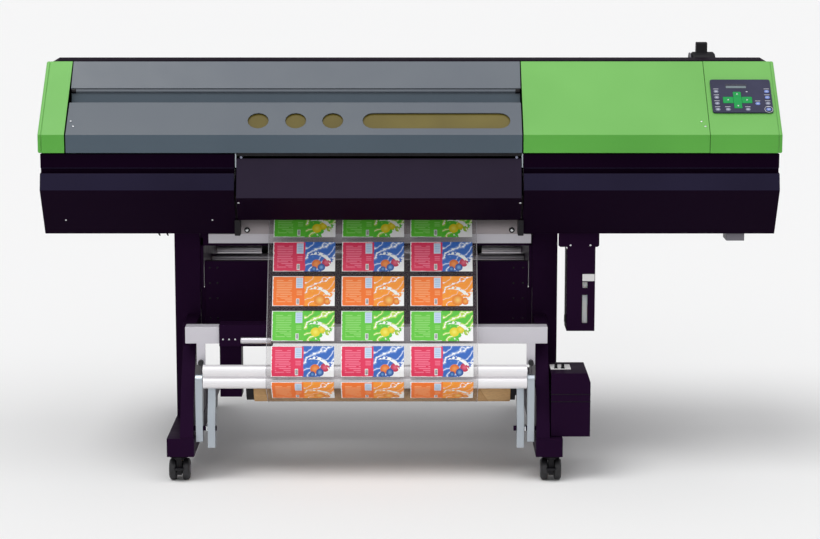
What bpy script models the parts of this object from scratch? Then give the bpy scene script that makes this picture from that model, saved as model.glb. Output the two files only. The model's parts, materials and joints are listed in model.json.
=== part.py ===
"""Roll-to-roll ultraviolet label printer on a castored stand, with a take-up unit.

Metres, +Z up, +X to the operator's right, -Y towards the operator.  The origin is on the floor
under the middle of the head's width and the stand's depth.
"""
import math

import bmesh
import bpy
from mathutils import Matrix, Vector

# ---------------------------------------------------------------- driving dimensions (metres)
HEAD_HALF_WIDTH = 0.850
HOOD_TOP = (-0.160, 0.952)           # upper edge of the slanting hood, as (y, z)
HOOD_CREASE = (-0.325, 0.797)        # where the slant turns into the upright lip
LIP_BOTTOM = 0.755
SHEET = 0.0025                       # wall of the moulded and folded covers
TUBE_WALL = 0.003
COVER_LEFT, COVER_RIGHT = -0.788, 0.258      # joints between the grey and the green covers
PANEL_JOINT = 0.6848                 # joint between the two green covers on the right
MEDIA_LEFT, MEDIA_RIGHT = -0.402, 0.260      # the media passage between the lower housings
HOUSING_LEFT, HOUSING_RIGHT = -0.846, 0.845
HEAD_BOTTOM = 0.561
REAR_FACE = 0.285

HINGE = (-0.2095, 0.8870)            # front cover's pivot line
WINDOW_RADIUS = 0.024
WINDOW_CENTRES = (-0.348, -0.262, -0.177)
WINDOW_SLOT = (-0.1085, 0.230)
WINDOW_UP_SLOPE = 0.0444             # from the crease to the windows' centre line

PLATEN_TOP = 0.6515
FILM_LEVEL = 0.6530                  # middle of the film over the platen
FILM_THICKNESS = 0.0008
FILM_LEFT, FILM_RIGHT = -0.331, 0.1565
FEED_AXIS_Y = 0.030
FEED_RADIUS, PINCH_RADIUS = 0.012, 0.009

LEG_LEFT = (-0.558, -0.498)          # outer and inner side of each column
LEG_RIGHT = (0.3495, 0.2905)
COLUMN_FRONT, COLUMN_REAR = -0.165, -0.065
FOOT_HALF_LENGTH = 0.400
FOOT_BOTTOM, FOOT_TOP = 0.061, 0.104
CROSSBAR = (-0.520, 0.318, -0.325, -0.287, 0.312, 0.351)

ROLL_AXIS = (0.145, 0.500)           # supply roll, as (y, z)
ROLL_RADIUS, FLANGE_RADIUS = 0.055, 0.0745
SHAFT_RADIUS, SHAFT_HEIGHT = 0.011, 0.450
SHAFT_FRONT, SHAFT_REAR = 0.075, 0.215

TUBE_AXIS = (-0.299, 0.2105)         # take-up tube, as (y, z)
TUBE_RADIUS, TUBE_BORE = 0.040, 0.0355
TUBE_ENDS = (-0.362, 0.2326)
LOBE_Y, LOBE_UPPER, LOBE_LOWER, LOBE_RADIUS = -0.371, 0.2572, 0.2302, 0.0143
GUIDE_ENDS = (-0.4755, 0.2690)
SWING_PIVOT = (-0.365, 0.121)

CASTER_RADIUS, CASTER_HALF_WIDTH, CASTER_TRAIL = 0.025, 0.02375, 0.012
CASTERS = {
    "front_left": (-0.5326, -0.377),
    "front_right": (0.3255, -0.377),
    "rear_left": (-0.5326, 0.362),
    "rear_right": (0.3255, 0.362),
}

SLOPE_ANGLE = math.atan2(HOOD_TOP[1] - HOOD_CREASE[1], HOOD_TOP[0] - HOOD_CREASE[0])
GAP = 0.0005                         # running gap between neighbouring solids

# ---------------------------------------------------------------- finishes: sRGB hex, roughness, metallic
FINISHES = {
    "green_paint": ("78BE50", 0.35, 0.0),
    "grey_paint": ("757B84", 0.35, 0.0),
    "black_paint": ("1C1624", 0.30, 0.0),
    "amber_glass": ("7A6E3C", 0.10, 0.0),
    "panel_slate": ("40405A", 0.40, 0.0),
    "key_grey": ("8A8E9A", 0.45, 0.0),
    "key_green": ("1E8E4A", 0.45, 0.0),
    "key_blue": ("3A6ED0", 0.45, 0.0),
    "platen_grey": ("7A7274", 0.40, 0.6),
    "aluminium": ("C4C0C6", 0.30, 1.0),
    "steel": ("9098A0", 0.30, 1.0),
    "black_plastic": ("151218", 0.45, 0.0),
    "kraft_board": ("C09A6C", 0.85, 0.0),
    "film": ("E8ECEC", 0.12, 0.0),
    "bottle": ("C8CACC", 0.35, 0.0),
    "caster_rubber": ("1A181C", 0.60, 0.0),
}


def linear(channel):
    """One sRGB channel, 0 to 1, as a linear value."""
    return channel / 12.92 if channel <= 0.04045 else ((channel + 0.055) / 1.055) ** 2.4


def finish(name):
    """The named Principled material, made the first time it is asked for."""
    if name in bpy.data.materials:
        return bpy.data.materials[name]
    code, roughness, metallic = FINISHES[name]
    colour = [linear(int(code[i:i + 2], 16) / 255) for i in (0, 2, 4)]
    material = bpy.data.materials.new(name)
    material.use_nodes = True
    shader = material.node_tree.nodes["Principled BSDF"]
    shader.inputs["Base Color"].default_value = (*colour, 1)
    shader.inputs["Roughness"].default_value = roughness
    shader.inputs["Metallic"].default_value = metallic
    return material


# ---------------------------------------------------------------- modelling helpers
def place(axis, along, a, b):
    """A point `along` the named axis, with a and b on the two others in X, Y, Z order."""
    if axis == "x":
        return Vector((along, a, b))
    if axis == "y":
        return Vector((a, along, b))
    return Vector((a, b, along))


def make_object(name, bm, material, origin=(0, 0, 0), smooth=False):
    """Turn a bmesh into an object whose own origin is at `origin`."""
    bmesh.ops.recalc_face_normals(bm, faces=bm.faces)
    bmesh.ops.translate(bm, verts=bm.verts, vec=-Vector(origin))
    mesh = bpy.data.meshes.new(name)
    bm.to_mesh(mesh)
    bm.free()
    if smooth:
        mesh.shade_smooth()
        mesh.set_sharp_from_angle(angle=math.radians(35))
    mesh.materials.append(finish(material))
    obj = bpy.data.objects.new(name, mesh)
    obj.location = origin
    bpy.context.collection.objects.link(obj)
    return obj


def prism(name, outline, axis, low, high, material="steel", origin=(0, 0, 0), smooth=False):
    """Extrude a closed outline from low to high along one axis."""
    bm = bmesh.new()
    face = bm.faces.new([bm.verts.new(place(axis, low, a, b)) for a, b in outline])
    grown = bmesh.ops.extrude_face_region(bm, geom=[face])["geom"]
    moved = [item for item in grown if isinstance(item, bmesh.types.BMVert)]
    bmesh.ops.translate(bm, verts=moved, vec=place(axis, high - low, 0, 0))
    return make_object(name, bm, material, origin, smooth)


def box(name, x0, x1, y0, y1, z0, z1, material="steel", origin=(0, 0, 0)):
    """A block between two corners."""
    return prism(name, [(x0, y0), (x1, y0), (x1, y1), (x0, y1)], "z", z0, z1, material, origin)


def loft_x(name, stations, material="steel"):
    """Skin outlines of equal point count, each standing at its own x."""
    bm = bmesh.new()
    rings = [[bm.verts.new((x, y, z)) for y, z in outline] for x, outline in stations]
    for ring, following in zip(rings, rings[1:]):
        for i in range(len(ring)):
            j = (i + 1) % len(ring)
            bm.faces.new((ring[i], ring[j], following[j], following[i]))
    bm.faces.new(rings[0])
    bm.faces.new(rings[-1])
    return make_object(name, bm, material)


def turned(name, profile, axis, centre, material, origin=None, segments=24, ring=False):
    """Spin (along, radius) points about an axis through `centre`; `ring` closes the profile on itself."""
    bm = bmesh.new()
    loops = []
    for along, radius in profile:
        loop = []
        for k in range(segments):
            turn = 2 * math.pi * k / segments
            loop.append(bm.verts.new(place(axis, along, centre[0] + radius * math.cos(turn),
                                           centre[1] + radius * math.sin(turn))))
        loops.append(loop)
    pairs = list(zip(loops, loops[1:]))
    if ring:
        pairs.append((loops[-1], loops[0]))
    else:
        bm.faces.new(loops[0])
        bm.faces.new(loops[-1])
    for first, second in pairs:
        for k in range(segments):
            n = (k + 1) % segments
            bm.faces.new((first[k], first[n], second[n], second[k]))
    if origin is None:
        origin = place(axis, profile[0][0], *centre)
    return make_object(name, bm, material, origin, smooth=True)


def boolean(target, operation, *others):
    """Join or cut the target with other solids, which stay in the file as wire guides."""
    for other in others:
        modifier = target.modifiers.new(operation.lower(), "BOOLEAN")
        modifier.operation = operation
        modifier.solver = "EXACT"
        modifier.object = other
        other.hide_render = True
        other.display_type = "WIRE"
    return target


def cut(target, *cutters):
    return boolean(target, "DIFFERENCE", *cutters)


def join(target, *others):
    return boolean(target, "UNION", *others)


def ribbon(points, thickness):
    """Outline of a folded sheet: the given edge, then the same edge moved over by the thickness."""
    path = [Vector(p) for p in points]
    steps = [(b - a).normalized() for a, b in zip(path, path[1:])]
    normals = [Vector((-s.y, s.x)) for s in steps]
    inner = []
    for i, point in enumerate(path):
        before = normals[max(i - 1, 0)]
        after = normals[min(i, len(normals) - 1)]
        middle = (before + after).normalized()
        reach = thickness / max(middle.dot(after), 0.35)
        inner.append(point + middle * reach)
    return [tuple(p) for p in path] + [tuple(p) for p in reversed(inner)]


def arc(centre, radius, start, end, steps):
    """Points on a circle between two angles in degrees, both ends included."""
    turns = [math.radians(start + (end - start) * k / steps) for k in range(steps + 1)]
    return [(centre[0] + radius * math.cos(t), centre[1] + radius * math.sin(t)) for t in turns]


def stadium(x0, x1, y, radius, steps=8):
    """A slot with round ends, running from x0 to x1 about the line y."""
    right = arc((x1 - radius, y), radius, -90, 90, steps)
    left = arc((x0 + radius, y), radius, 90, 270, steps)
    return right + left


def rounded_rectangle(x0, x1, y0, y1, radius, steps=3):
    corners = [((x1 - radius, y0 + radius), -90), ((x1 - radius, y1 - radius), 0),
               ((x0 + radius, y1 - radius), 90), ((x0 + radius, y0 + radius), 180)]
    return [p for centre, start in corners for p in arc(centre, radius, start, start + 90, steps)]


# ---------------------------------------------------------------- head: frame and covers
def head_frame():
    """Two end plates tied by the rear beam and by the rail that the carriage runs on."""
    plate = [(-0.260, 0.567), (0.250, 0.567), (0.250, 0.840), (-0.205, 0.840), (-0.260, 0.790)]
    frame = prism("head_frame", plate, "x", -0.780, -0.774, "steel")
    join(frame,
         box("frame_beam", -0.778, 0.778, 0.085, 0.165, 0.690, 0.770),
         box("frame_rail", -0.778, 0.778, -0.035, -0.010, 0.760, 0.800),
         box("frame_web", -0.777, 0.777, -0.020, 0.100, 0.763, 0.768),
         prism("frame_right_plate", plate, "x", 0.774, 0.780))


def lower_housing(name, x0, x1, inner_side):
    """Tray-shaped casing under one end of the hood; low towards the media passage."""
    front = [(-0.315, 0.752), (-0.315, 0.7195), (-0.309, 0.7185), (-0.309, 0.7095), (-0.325, 0.708),
             (-0.335, 0.670), (-0.270, HEAD_BOTTOM)]
    outline = front + [(0.275, HEAD_BOTTOM), (0.275, 0.752)]
    cavity = [(-0.303, 0.80), (-0.303, 0.704), (-0.3305, 0.670), (-0.2685, HEAD_BOTTOM + TUBE_WALL),
              (0.272, HEAD_BOTTOM + TUBE_WALL), (0.272, 0.80)]
    housing = prism(name, outline, "x", x0, x1, "black_paint")
    passage = (inner_side - 0.012, inner_side + 0.012)
    cut(housing,
        prism(name + "_cavity", cavity, "x", x0 + TUBE_WALL, x1 - TUBE_WALL),
        box(name + "_pass", *passage, -0.290, 0.300, 0.645, 0.80),
        box(name + "_back", x0 - 0.01, x1 + 0.01, 0.260, 0.300, 0.698, 0.80))


def hood_sheet(name, x0, x1, material):
    """One length of the slanting hood: top return, slant and upright lip."""
    path = [(-0.150, 0.9495), HOOD_TOP, HOOD_CREASE, (HOOD_CREASE[0], LIP_BOTTOM)]
    return prism(name, ribbon(path, SHEET), "x", x0, x1, material)


def hood_end(name, x0, x1, open_low, open_high):
    """A green end of the hood, with its side wall; open at the bottom, the back and towards the middle."""
    outer = [(-0.150, 0.9495), HOOD_TOP, HOOD_CREASE, (HOOD_CREASE[0], LIP_BOTTOM), (-0.150, LIP_BOTTOM)]
    inner = [(-0.140, 0.9465), (-0.159, 0.9485), (-0.3225, 0.7957), (-0.3225, 0.740), (-0.140, 0.740)]
    cover = prism(name, outer, "x", x0, x1, "green_paint")
    return cut(cover, prism(name + "_cavity", inner, "x", open_low, open_high))


def upper_cover():
    """Fixed grey strip between the ridge and the front cover's pivot line."""
    path = [(-0.150, 0.9495), HOOD_TOP, (-0.213, 0.8935)]
    prism("upper_cover", ribbon(path, SHEET), "x", COVER_LEFT + 0.001, COVER_RIGHT - 0.001, "grey_paint")


def front_cover():
    """Hinged grey cover: finger recess, slant with the windows, and the lip."""
    shelf = (-0.249, 0.8635)
    path = [(-0.2090, 0.8840), (-0.216, 0.8605), shelf, HOOD_CREASE, (HOOD_CREASE[0], LIP_BOTTOM)]
    pivot = (COVER_LEFT + 0.002, *HINGE)
    cover = prism("front_cover", ribbon(path, SHEET), "x", COVER_LEFT + 0.002, COVER_RIGHT - 0.002,
                  "grey_paint", pivot)
    windows = [stadium(x - WINDOW_RADIUS, x + WINDOW_RADIUS, 0, WINDOW_RADIUS) for x in WINDOW_CENTRES]
    windows.append(stadium(*WINDOW_SLOT, 0, WINDOW_RADIUS))
    rise, run = shelf[1] - HOOD_CREASE[1], shelf[0] - HOOD_CREASE[0]
    slant = math.atan2(rise, run)
    for i, outline in enumerate(windows):
        cutter = prism(f"window_cutter_{i}", outline, "z", -0.012, 0.012)
        cutter.rotation_euler = (slant, 0, 0)
        cutter.location = (0, HOOD_CREASE[0] + WINDOW_UP_SLOPE * math.cos(slant),
                           HOOD_CREASE[1] + WINDOW_UP_SLOPE * math.sin(slant))
        cut(cover, cutter)


def uv_window_pane():
    """Amber filter pane behind the windows; its lower edge hangs below the lip."""
    path = [(-0.2500, 0.8563), (-0.3205, 0.7947), (-0.3205, 0.7475)]
    prism("uv_window_pane", ribbon(path, SHEET), "x", -0.396, 0.2535, "amber_glass",
          (-0.396, *HINGE))


def rear_cover():
    """Black top and back casing, with chamfered ends and the lever's opening."""
    def outline(drop, inset):
        front, back = -0.147, REAR_FACE - inset
        return [(front, 0.700), (front, 0.9520 - drop), (-0.128, 0.9590 - drop - inset),
                (back, 0.905 - drop - inset), (back, 0.700)]

    def hollow(drop):
        points = outline(drop, TUBE_WALL)
        lowered = [(-0.157, 0.690), (-0.157, points[1][1] - TUBE_WALL)]
        return lowered + [points[2], points[3], (points[4][0], 0.690)]

    left, right, chamfer, fall = -0.8410, 0.8395, 0.017, 0.010
    cover = loft_x("rear_cover", [(left, outline(fall, 0)), (left + chamfer, outline(0, 0)),
                                  (right - chamfer, outline(0, 0)), (right, outline(fall, 0))],
                   "black_paint")
    wall = TUBE_WALL
    cut(cover,
        loft_x("rear_cover_cavity", [(left + wall, hollow(fall)), (left + chamfer + wall, hollow(0)),
                                     (right - chamfer - wall, hollow(0)), (right - wall, hollow(fall))]),
        box("lever_opening", 0.664, 0.728, -0.096, -0.034, 0.930, 0.980))


def loading_lever():
    """Pinch-release lever: a hub in the top cover's opening and an upright thumb block."""
    axis = (-0.065, 0.938)
    lever = turned("loading_lever", [(0.6675, 0.025), (0.6720, 0.030), (0.7205, 0.030), (0.7250, 0.025)],
                   "x", axis, "black_plastic", origin=(0.700, *axis))
    handle = [(-0.078, 0.945), (-0.052, 0.945), (-0.055, 0.989), (-0.059, 0.991), (-0.071, 0.991),
              (-0.075, 0.989)]
    join(lever, prism("lever_handle", handle, "x", 0.680, 0.706))


def front_apron():
    """Black folded guard in front of the platen, between the lower housings."""
    path = [(-0.302, 0.742), (-0.315, 0.742), (-0.345, 0.654), (-0.295, 0.596)]
    prism("front_apron", ribbon(path, SHEET), "x", MEDIA_LEFT + 0.005, MEDIA_RIGHT - 0.005, "black_paint")


def platen():
    """Bent bed plate with the feed roller's slot, and the straight bar along its lower front edge."""
    path = [(0.268, 0.600), (0.268, 0.628), (0.245, PLATEN_TOP), (-0.166, PLATEN_TOP), (-0.198, 0.590),
            (-0.198, 0.540)]
    bed = prism("platen", ribbon(path, TUBE_WALL), "x", MEDIA_LEFT + 0.001, MEDIA_RIGHT - 0.001,
                "platen_grey")
    join(bed, box("platen_bar", -0.474, 0.285, -0.1985, -0.178, 0.5275, 0.5495))
    cut(bed, box("roller_slot", MEDIA_LEFT + 0.005, MEDIA_RIGHT - 0.003, FEED_AXIS_Y - 0.018,
                 FEED_AXIS_Y + 0.018, 0.640, 0.660))


# ---------------------------------------------------------------- head: working parts
def print_carriage():
    """Print-head and lamp carriage, parked at the right-hand end of its rail."""
    outline = [(-0.185, 0.668), (-0.0355, 0.668), (-0.0355, 0.790), (-0.060, 0.812), (-0.150, 0.812),
               (-0.185, 0.760)]
    prism("print_carriage", outline, "x", 0.480, 0.640, "black_plastic", (0.560, -0.035, 0.780))


def feed_rollers():
    """Grit roller under the film and pinch roller over it."""
    low = FILM_LEVEL - FILM_THICKNESS / 2 - 0.0003 - FEED_RADIUS
    high = FILM_LEVEL + FILM_THICKNESS / 2 + 0.0003 + PINCH_RADIUS
    turned("feed_roller", [(-0.395, FEED_RADIUS), (0.255, FEED_RADIUS)], "x", (FEED_AXIS_Y, low), "steel")
    turned("pinch_roller", [(-0.395, PINCH_RADIUS), (0.255, PINCH_RADIUS)], "x", (FEED_AXIS_Y, high),
           "caster_rubber", segments=20)


# ---------------------------------------------------------------- operation panel
ROW_PITCH, FIRST_ROW = 0.0183, 0.0732        # up the slope from the crease
LEFT_COLUMN, RIGHT_COLUMN = 0.7075, 0.8242
CROSS_X, CROSS_UP = 0.7550, 0.1018           # middle of the arrow keys
KEY_BASE, KEY_TOP = 0.0012, 0.0049           # above the cover's slant
PANEL_BASE, PANEL_TOP = 0.0003, 0.0043


def key_places():
    """Each key's name with its centre across and up the slope, half sizes, corner radius and finish."""
    small = (0.0058, 0.0042, 0.0041)
    keys = {}
    for row in range(4):
        up = FIRST_ROW + row * ROW_PITCH
        right_finish = "key_grey" if row == 1 else "key_blue"
        keys[f"left_key_{row + 1}"] = (LEFT_COLUMN, up, *small, "key_grey")
        keys[f"right_key_{row + 1}"] = (RIGHT_COLUMN, up, *small, right_finish)
    keys["lower_key_1"] = (0.7311, FIRST_ROW, *small, "key_grey")
    keys["lower_key_2"] = (0.7768, FIRST_ROW, *small, "key_grey")
    keys["enter_key"] = (0.8008, 0.0909, *small, "key_blue")
    keys["up_key"] = (CROSS_X, CROSS_UP + 0.0178, 0.0093, 0.0075, 0.002, "key_green")
    keys["down_key"] = (CROSS_X, CROSS_UP - 0.0178, 0.0093, 0.0075, 0.002, "key_green")
    keys["left_arrow_key"] = (CROSS_X - 0.0218, CROSS_UP, 0.0118, 0.0097, 0.002, "key_green")
    keys["right_arrow_key"] = (CROSS_X + 0.0218, CROSS_UP, 0.0118, 0.0097, 0.002, "key_green")
    return keys


def operation_panel():
    """Slate panel on the right-hand slant, with a hole for each key and the keys in them."""
    slope = bpy.data.objects.new("panel_slope", None)
    slope.location = (0, *HOOD_CREASE)
    slope.rotation_euler = (SLOPE_ANGLE, 0, 0)
    bpy.context.collection.objects.link(slope)
    plate = rounded_rectangle(0.6955, 0.8345, 0.0643, 0.1655, 0.005)
    panel = prism("control_panel", plate, "z", PANEL_BASE, PANEL_TOP, "panel_slate")
    panel.parent = slope
    for name, (x, up, half_x, half_up, corner, material) in key_places().items():
        outline = rounded_rectangle(-half_x, half_x, -half_up, half_up, corner, 2)
        key = prism(name, outline, "z", 0, KEY_TOP - KEY_BASE, material)
        key.location = (x, up, KEY_BASE)
        key.parent = slope
        wide, tall = half_x + 0.0004, half_up + 0.0004
        hole = prism(name + "_hole", rounded_rectangle(-wide, wide, -tall, tall, corner + 0.0004, 2),
                     "z", -0.001, 0.006)
        hole.location = (x, up, 0)
        hole.parent = slope
        cut(panel, hole)


# ---------------------------------------------------------------- stand
def leg(side, outer, inner):
    """One welded leg: foot tube, column, front brace, roll-shaft bracket and the swing arm's pivot."""
    name = side + "_leg"
    inward = 1 if inner > outer else -1
    x0, x1 = sorted((outer, inner))
    wall = TUBE_WALL
    foot_x0, foot_x1 = x0 - 0.001, x1 + 0.0015
    column = box(name, x0, x1, COLUMN_FRONT, COLUMN_REAR, FOOT_TOP - 0.002, HEAD_BOTTOM - GAP,
                 "black_paint")
    foot = box(name + "_foot", foot_x0, foot_x1, -FOOT_HALF_LENGTH, FOOT_HALF_LENGTH, FOOT_BOTTOM, FOOT_TOP)
    brace_x = sorted((inner - inward * 0.031, inner - inward * 0.0005))
    brace_outline = [(-0.160, 0.352), (-0.2865, 0.352), (-0.2865, 0.300), (-0.355, 0.201),
                     (-0.3965, 0.102), (-0.160, 0.102)]
    brace = prism(name + "_brace", brace_outline, "x", *brace_x)
    bracket_x = sorted((inner - inward * 0.002, inner + inward * 0.008))
    bracket_outline = [(-0.160, 0.415), (0.090, 0.415), (0.245, 0.425), (0.245, 0.475), (0.090, 0.535),
                       (-0.160, 0.535)]
    bracket = prism(name + "_roll_bracket", bracket_outline, "x", *bracket_x)
    arm_x = sorted((inner + inward * 0.0045, inner + inward * 0.0205))
    arm_outline = (arc((-0.365, 0.2335), 0.015, 0, 180, 6)
                   + [(-0.378, 0.092), (-0.374, 0.090), (-0.356, 0.090), (-0.352, 0.092)])
    arm = prism(name + "_pivot_plate", arm_outline, "x", *arm_x)
    stub_x = sorted((inner - inward * 0.006, inner + inward * 0.0515))
    stub = turned(name + "_pivot_stub", [(stub_x[0], 0.006), (stub_x[1], 0.006)], "x", SWING_PIVOT, "steel",
                  segments=16)
    join(column, foot, brace, bracket, arm, stub)
    hollow = [(-0.150, 0.349), (-0.2835, 0.349), (-0.2835, 0.301), (-0.352, 0.2018), (-0.392, 0.107),
              (-0.150, 0.107)]
    cut(column,
        box(name + "_bore", x0 + wall, x1 - wall, COLUMN_FRONT + wall, COLUMN_REAR - wall, FOOT_TOP + wall,
            HEAD_BOTTOM + 0.01),
        box(name + "_foot_bore", foot_x0 + wall, foot_x1 - wall, -FOOT_HALF_LENGTH + wall,
            FOOT_HALF_LENGTH + 0.01, FOOT_BOTTOM + wall, FOOT_TOP - wall))
    # The brace's hollow opens into the column's, so it stays inside the brace's side walls.
    low, high = brace_x[0] + wall, brace_x[1] - wall - 0.004
    if inward < 0:
        low, high = brace_x[0] + wall + 0.004, brace_x[1] - wall
    cut(column, prism(name + "_brace_hollow", hollow, "x", low, high))


def back_panel():
    """Folded black sheet between the columns."""
    path = [(-0.135, 0.294), (-0.155, 0.294), (-0.155, 0.478), (-0.135, 0.478)]
    prism("back_panel", ribbon(path, -0.002), "x", LEG_LEFT[1] + 0.0095, LEG_RIGHT[1] - 0.0095, "black_paint")


def crossbar():
    """Hollow front bar of the take-up unit, with a stop tab hanging near each end."""
    x0, x1, y0, y1, z0, z1 = CROSSBAR
    bar = box("crossbar", x0, x1, y0, y1, z0, z1, "aluminium")
    tabs = [box(f"stop_tab_{i}", left, left + 0.020, y0, y0 + 0.004, 0.262, z0 + 0.001)
            for i, left in enumerate((-0.494, 0.270))]
    join(bar, *tabs)
    cut(bar, box("crossbar_bore", x0 - 0.01, x1 + 0.01, y0 + 0.002, y1 - 0.002, z0 + 0.002, z1 - 0.002))


def caster(place_name, x, y):
    """Twin-wheel swivel caster: a swivelling fork and its wheel pair."""
    fork = turned(f"caster_fork_{place_name}",
                  [(FOOT_BOTTOM - GAP, 0.020), (0.0565, 0.022), (0.0565, 0.010), (0.0500, 0.010)], "z",
                  (x, y), "black_plastic", origin=(x, y, FOOT_BOTTOM))
    axle_y = y + CASTER_TRAIL
    web = box(f"caster_web_{place_name}", x - 0.006, x + 0.006, y - 0.010, axle_y + 0.010, 0.015, 0.051)
    join(fork, web)
    cut(fork, turned(f"caster_bore_{place_name}", [(x - 0.02, 0.0043), (x + 0.02, 0.0043)], "x",
                     (axle_y, CASTER_RADIUS), "steel", segments=12))
    half, radius = CASTER_HALF_WIDTH, CASTER_RADIUS
    side = [(half, radius - 0.004), (half - 0.0035, radius), (0.0095, radius), (0.0075, radius - 0.002),
            (0.0075, 0.004)]
    profile = [(x - along, r) for along, r in side] + [(x + along, r) for along, r in reversed(side)]
    turned(f"caster_wheels_{place_name}", profile, "x", (axle_y, CASTER_RADIUS), "caster_rubber",
           origin=(x, axle_y, CASTER_RADIUS), segments=20)


# ---------------------------------------------------------------- supply roll
def supply_side():
    """Flanged media roll lying on two shafts behind the stand."""
    left, right, flange = -0.3675, 0.178, 0.020
    profile = [(left, FLANGE_RADIUS), (left + flange, FLANGE_RADIUS), (left + flange, ROLL_RADIUS),
               (right - flange, ROLL_RADIUS), (right - flange, FLANGE_RADIUS), (right, FLANGE_RADIUS)]
    turned("supply_roll", profile, "x", ROLL_AXIS, "film", segments=32)
    ends = (LEG_LEFT[1] + 0.0085, LEG_RIGHT[1] - 0.0085)
    for name, y in (("front_roll_shaft", SHAFT_FRONT), ("rear_roll_shaft", SHAFT_REAR)):
        turned(name, [(ends[0], SHAFT_RADIUS), (ends[1], SHAFT_RADIUS)], "x", (y, SHAFT_HEIGHT), "aluminium",
               segments=20)


# ---------------------------------------------------------------- take-up unit
def guide_bar():
    """Extruded guide bar with two round lobes and a groove between them."""
    waist = 0.0008
    upper = arc((LOBE_Y, LOBE_UPPER), LOBE_RADIUS, -68, 248, 16)
    lower = arc((LOBE_Y, LOBE_LOWER), LOBE_RADIUS, 112, 428, 16)
    middle = (LOBE_UPPER + LOBE_LOWER) / 2
    upper[0] = (upper[0][0], middle + waist)
    upper[-1] = (upper[-1][0], middle + waist)
    lower[0] = (lower[0][0], middle - waist)
    lower[-1] = (lower[-1][0], middle - waist)
    prism("guide_bar", upper + lower, "x", *GUIDE_ENDS, "aluminium", (GUIDE_ENDS[0], *SWING_PIVOT), True)


def swing_arm(side, x0, x1):
    """Flat arm that carries one end of the guide bar and turns on the leg's pivot stub."""
    outline = [(-0.3562, 0.262), (-0.338, 0.262), (-0.338, 0.200), (-0.350, 0.078), (-0.380, 0.078),
               (-0.380, 0.150), (-0.3562, 0.205)]
    arm = prism(side + "_swing_arm", outline, "x", x0, x1, "steel", ((x0 + x1) / 2, *SWING_PIVOT))
    cut(arm, turned(side + "_arm_bore", [(x0 - 0.01, 0.0064), (x1 + 0.01, 0.0064)], "x", SWING_PIVOT, "steel",
                    segments=16))


def take_up_tube():
    """Board core with its driving flange at the right and the free flange at the left."""
    left, right = TUBE_ENDS
    turned("take_up_tube", [(left, TUBE_RADIUS), (right, TUBE_RADIUS), (right, TUBE_BORE), (left, TUBE_BORE)],
           "x", TUBE_AXIS, "kraft_board", segments=36, ring=True)
    plug, disc, hub, stub = TUBE_BORE - 0.0015, 0.0365, 0.026, 0.010
    drive = [(right - 0.020, plug), (right + 0.0009, plug), (right + 0.0009, disc), (right + 0.0115, disc),
             (right + 0.0115, hub), (right + 0.0184, hub), (right + 0.0184, stub), (right + 0.0575, stub)]
    turned("take_up_drive_flange", drive, "x", TUBE_AXIS, "black_plastic")
    idler = [(left - 0.028, stub), (left - 0.018, stub), (left - 0.018, disc), (left - GAP, disc),
             (left - GAP, plug), (left + 0.020, plug)]
    turned("take_up_idler_flange", idler, "x", TUBE_AXIS, "black_plastic")


def tube_holder():
    """Sleeve that slides on the crossbar, its clamp handle, and the post that carries the free flange."""
    x0, x1, y0, y1, z0, z1 = CROSSBAR
    left = -0.441
    sleeve = box("tube_holder", left, -0.318, y0 - 0.0055, y1 + 0.007, z0 - 0.0055, z1 + 0.0055, "black_paint",
                 (left, y1, z0))
    join(sleeve,
         box("holder_post", left, left + 0.050, -0.318, -0.262, 0.1845, z0 - 0.004),
         turned("holder_lock", [(-0.391, 0.0065), (-0.389, 0.008), (-0.321, 0.008), (-0.319, 0.0065)], "x",
                (y0 - 0.0125, z0 + 0.0095), "aluminium", segments=16))
    cut(sleeve, box("holder_bore", left - 0.01, -0.30, y0 - GAP, y1 + GAP, z0 - GAP, z1 + GAP))


def take_up_motor():
    """Drive box on the right foot, open towards the leg, with two toggles on top."""
    outline = [(0.3240, 0.1050), (0.4146, 0.1050), (0.4146, 0.232), (0.4075, 0.2535), (0.3240, 0.2535)]
    cavity = [(0.3140, 0.1075), (0.4121, 0.1075), (0.4121, 0.231), (0.4055, 0.2510), (0.3140, 0.2510)]
    housing = prism("take_up_motor_box", outline, "y", -0.383, -0.254, "black_paint")
    cut(housing, prism("motor_cavity", cavity, "y", -0.3805, -0.2565))
    axis_y, axis_z = -0.325, 0.2535
    for number, x in ((1, 0.338), (2, 0.354)):
        lever = arc((axis_y, axis_z), 0.0045, 180, 360, 6) + [(axis_y + 0.0025, 0.2670), (axis_y - 0.0025, 0.2670)]
        prism(f"take_up_switch_{number}", lever, "x", x - 0.0035, x + 0.0035, "black_plastic",
              (x, axis_y, axis_z))
        cut(housing, box(f"switch_slot_{number}", x - 0.0045, x + 0.0045, axis_y - 0.0075, axis_y + 0.0075,
                         0.245, 0.260))


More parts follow.
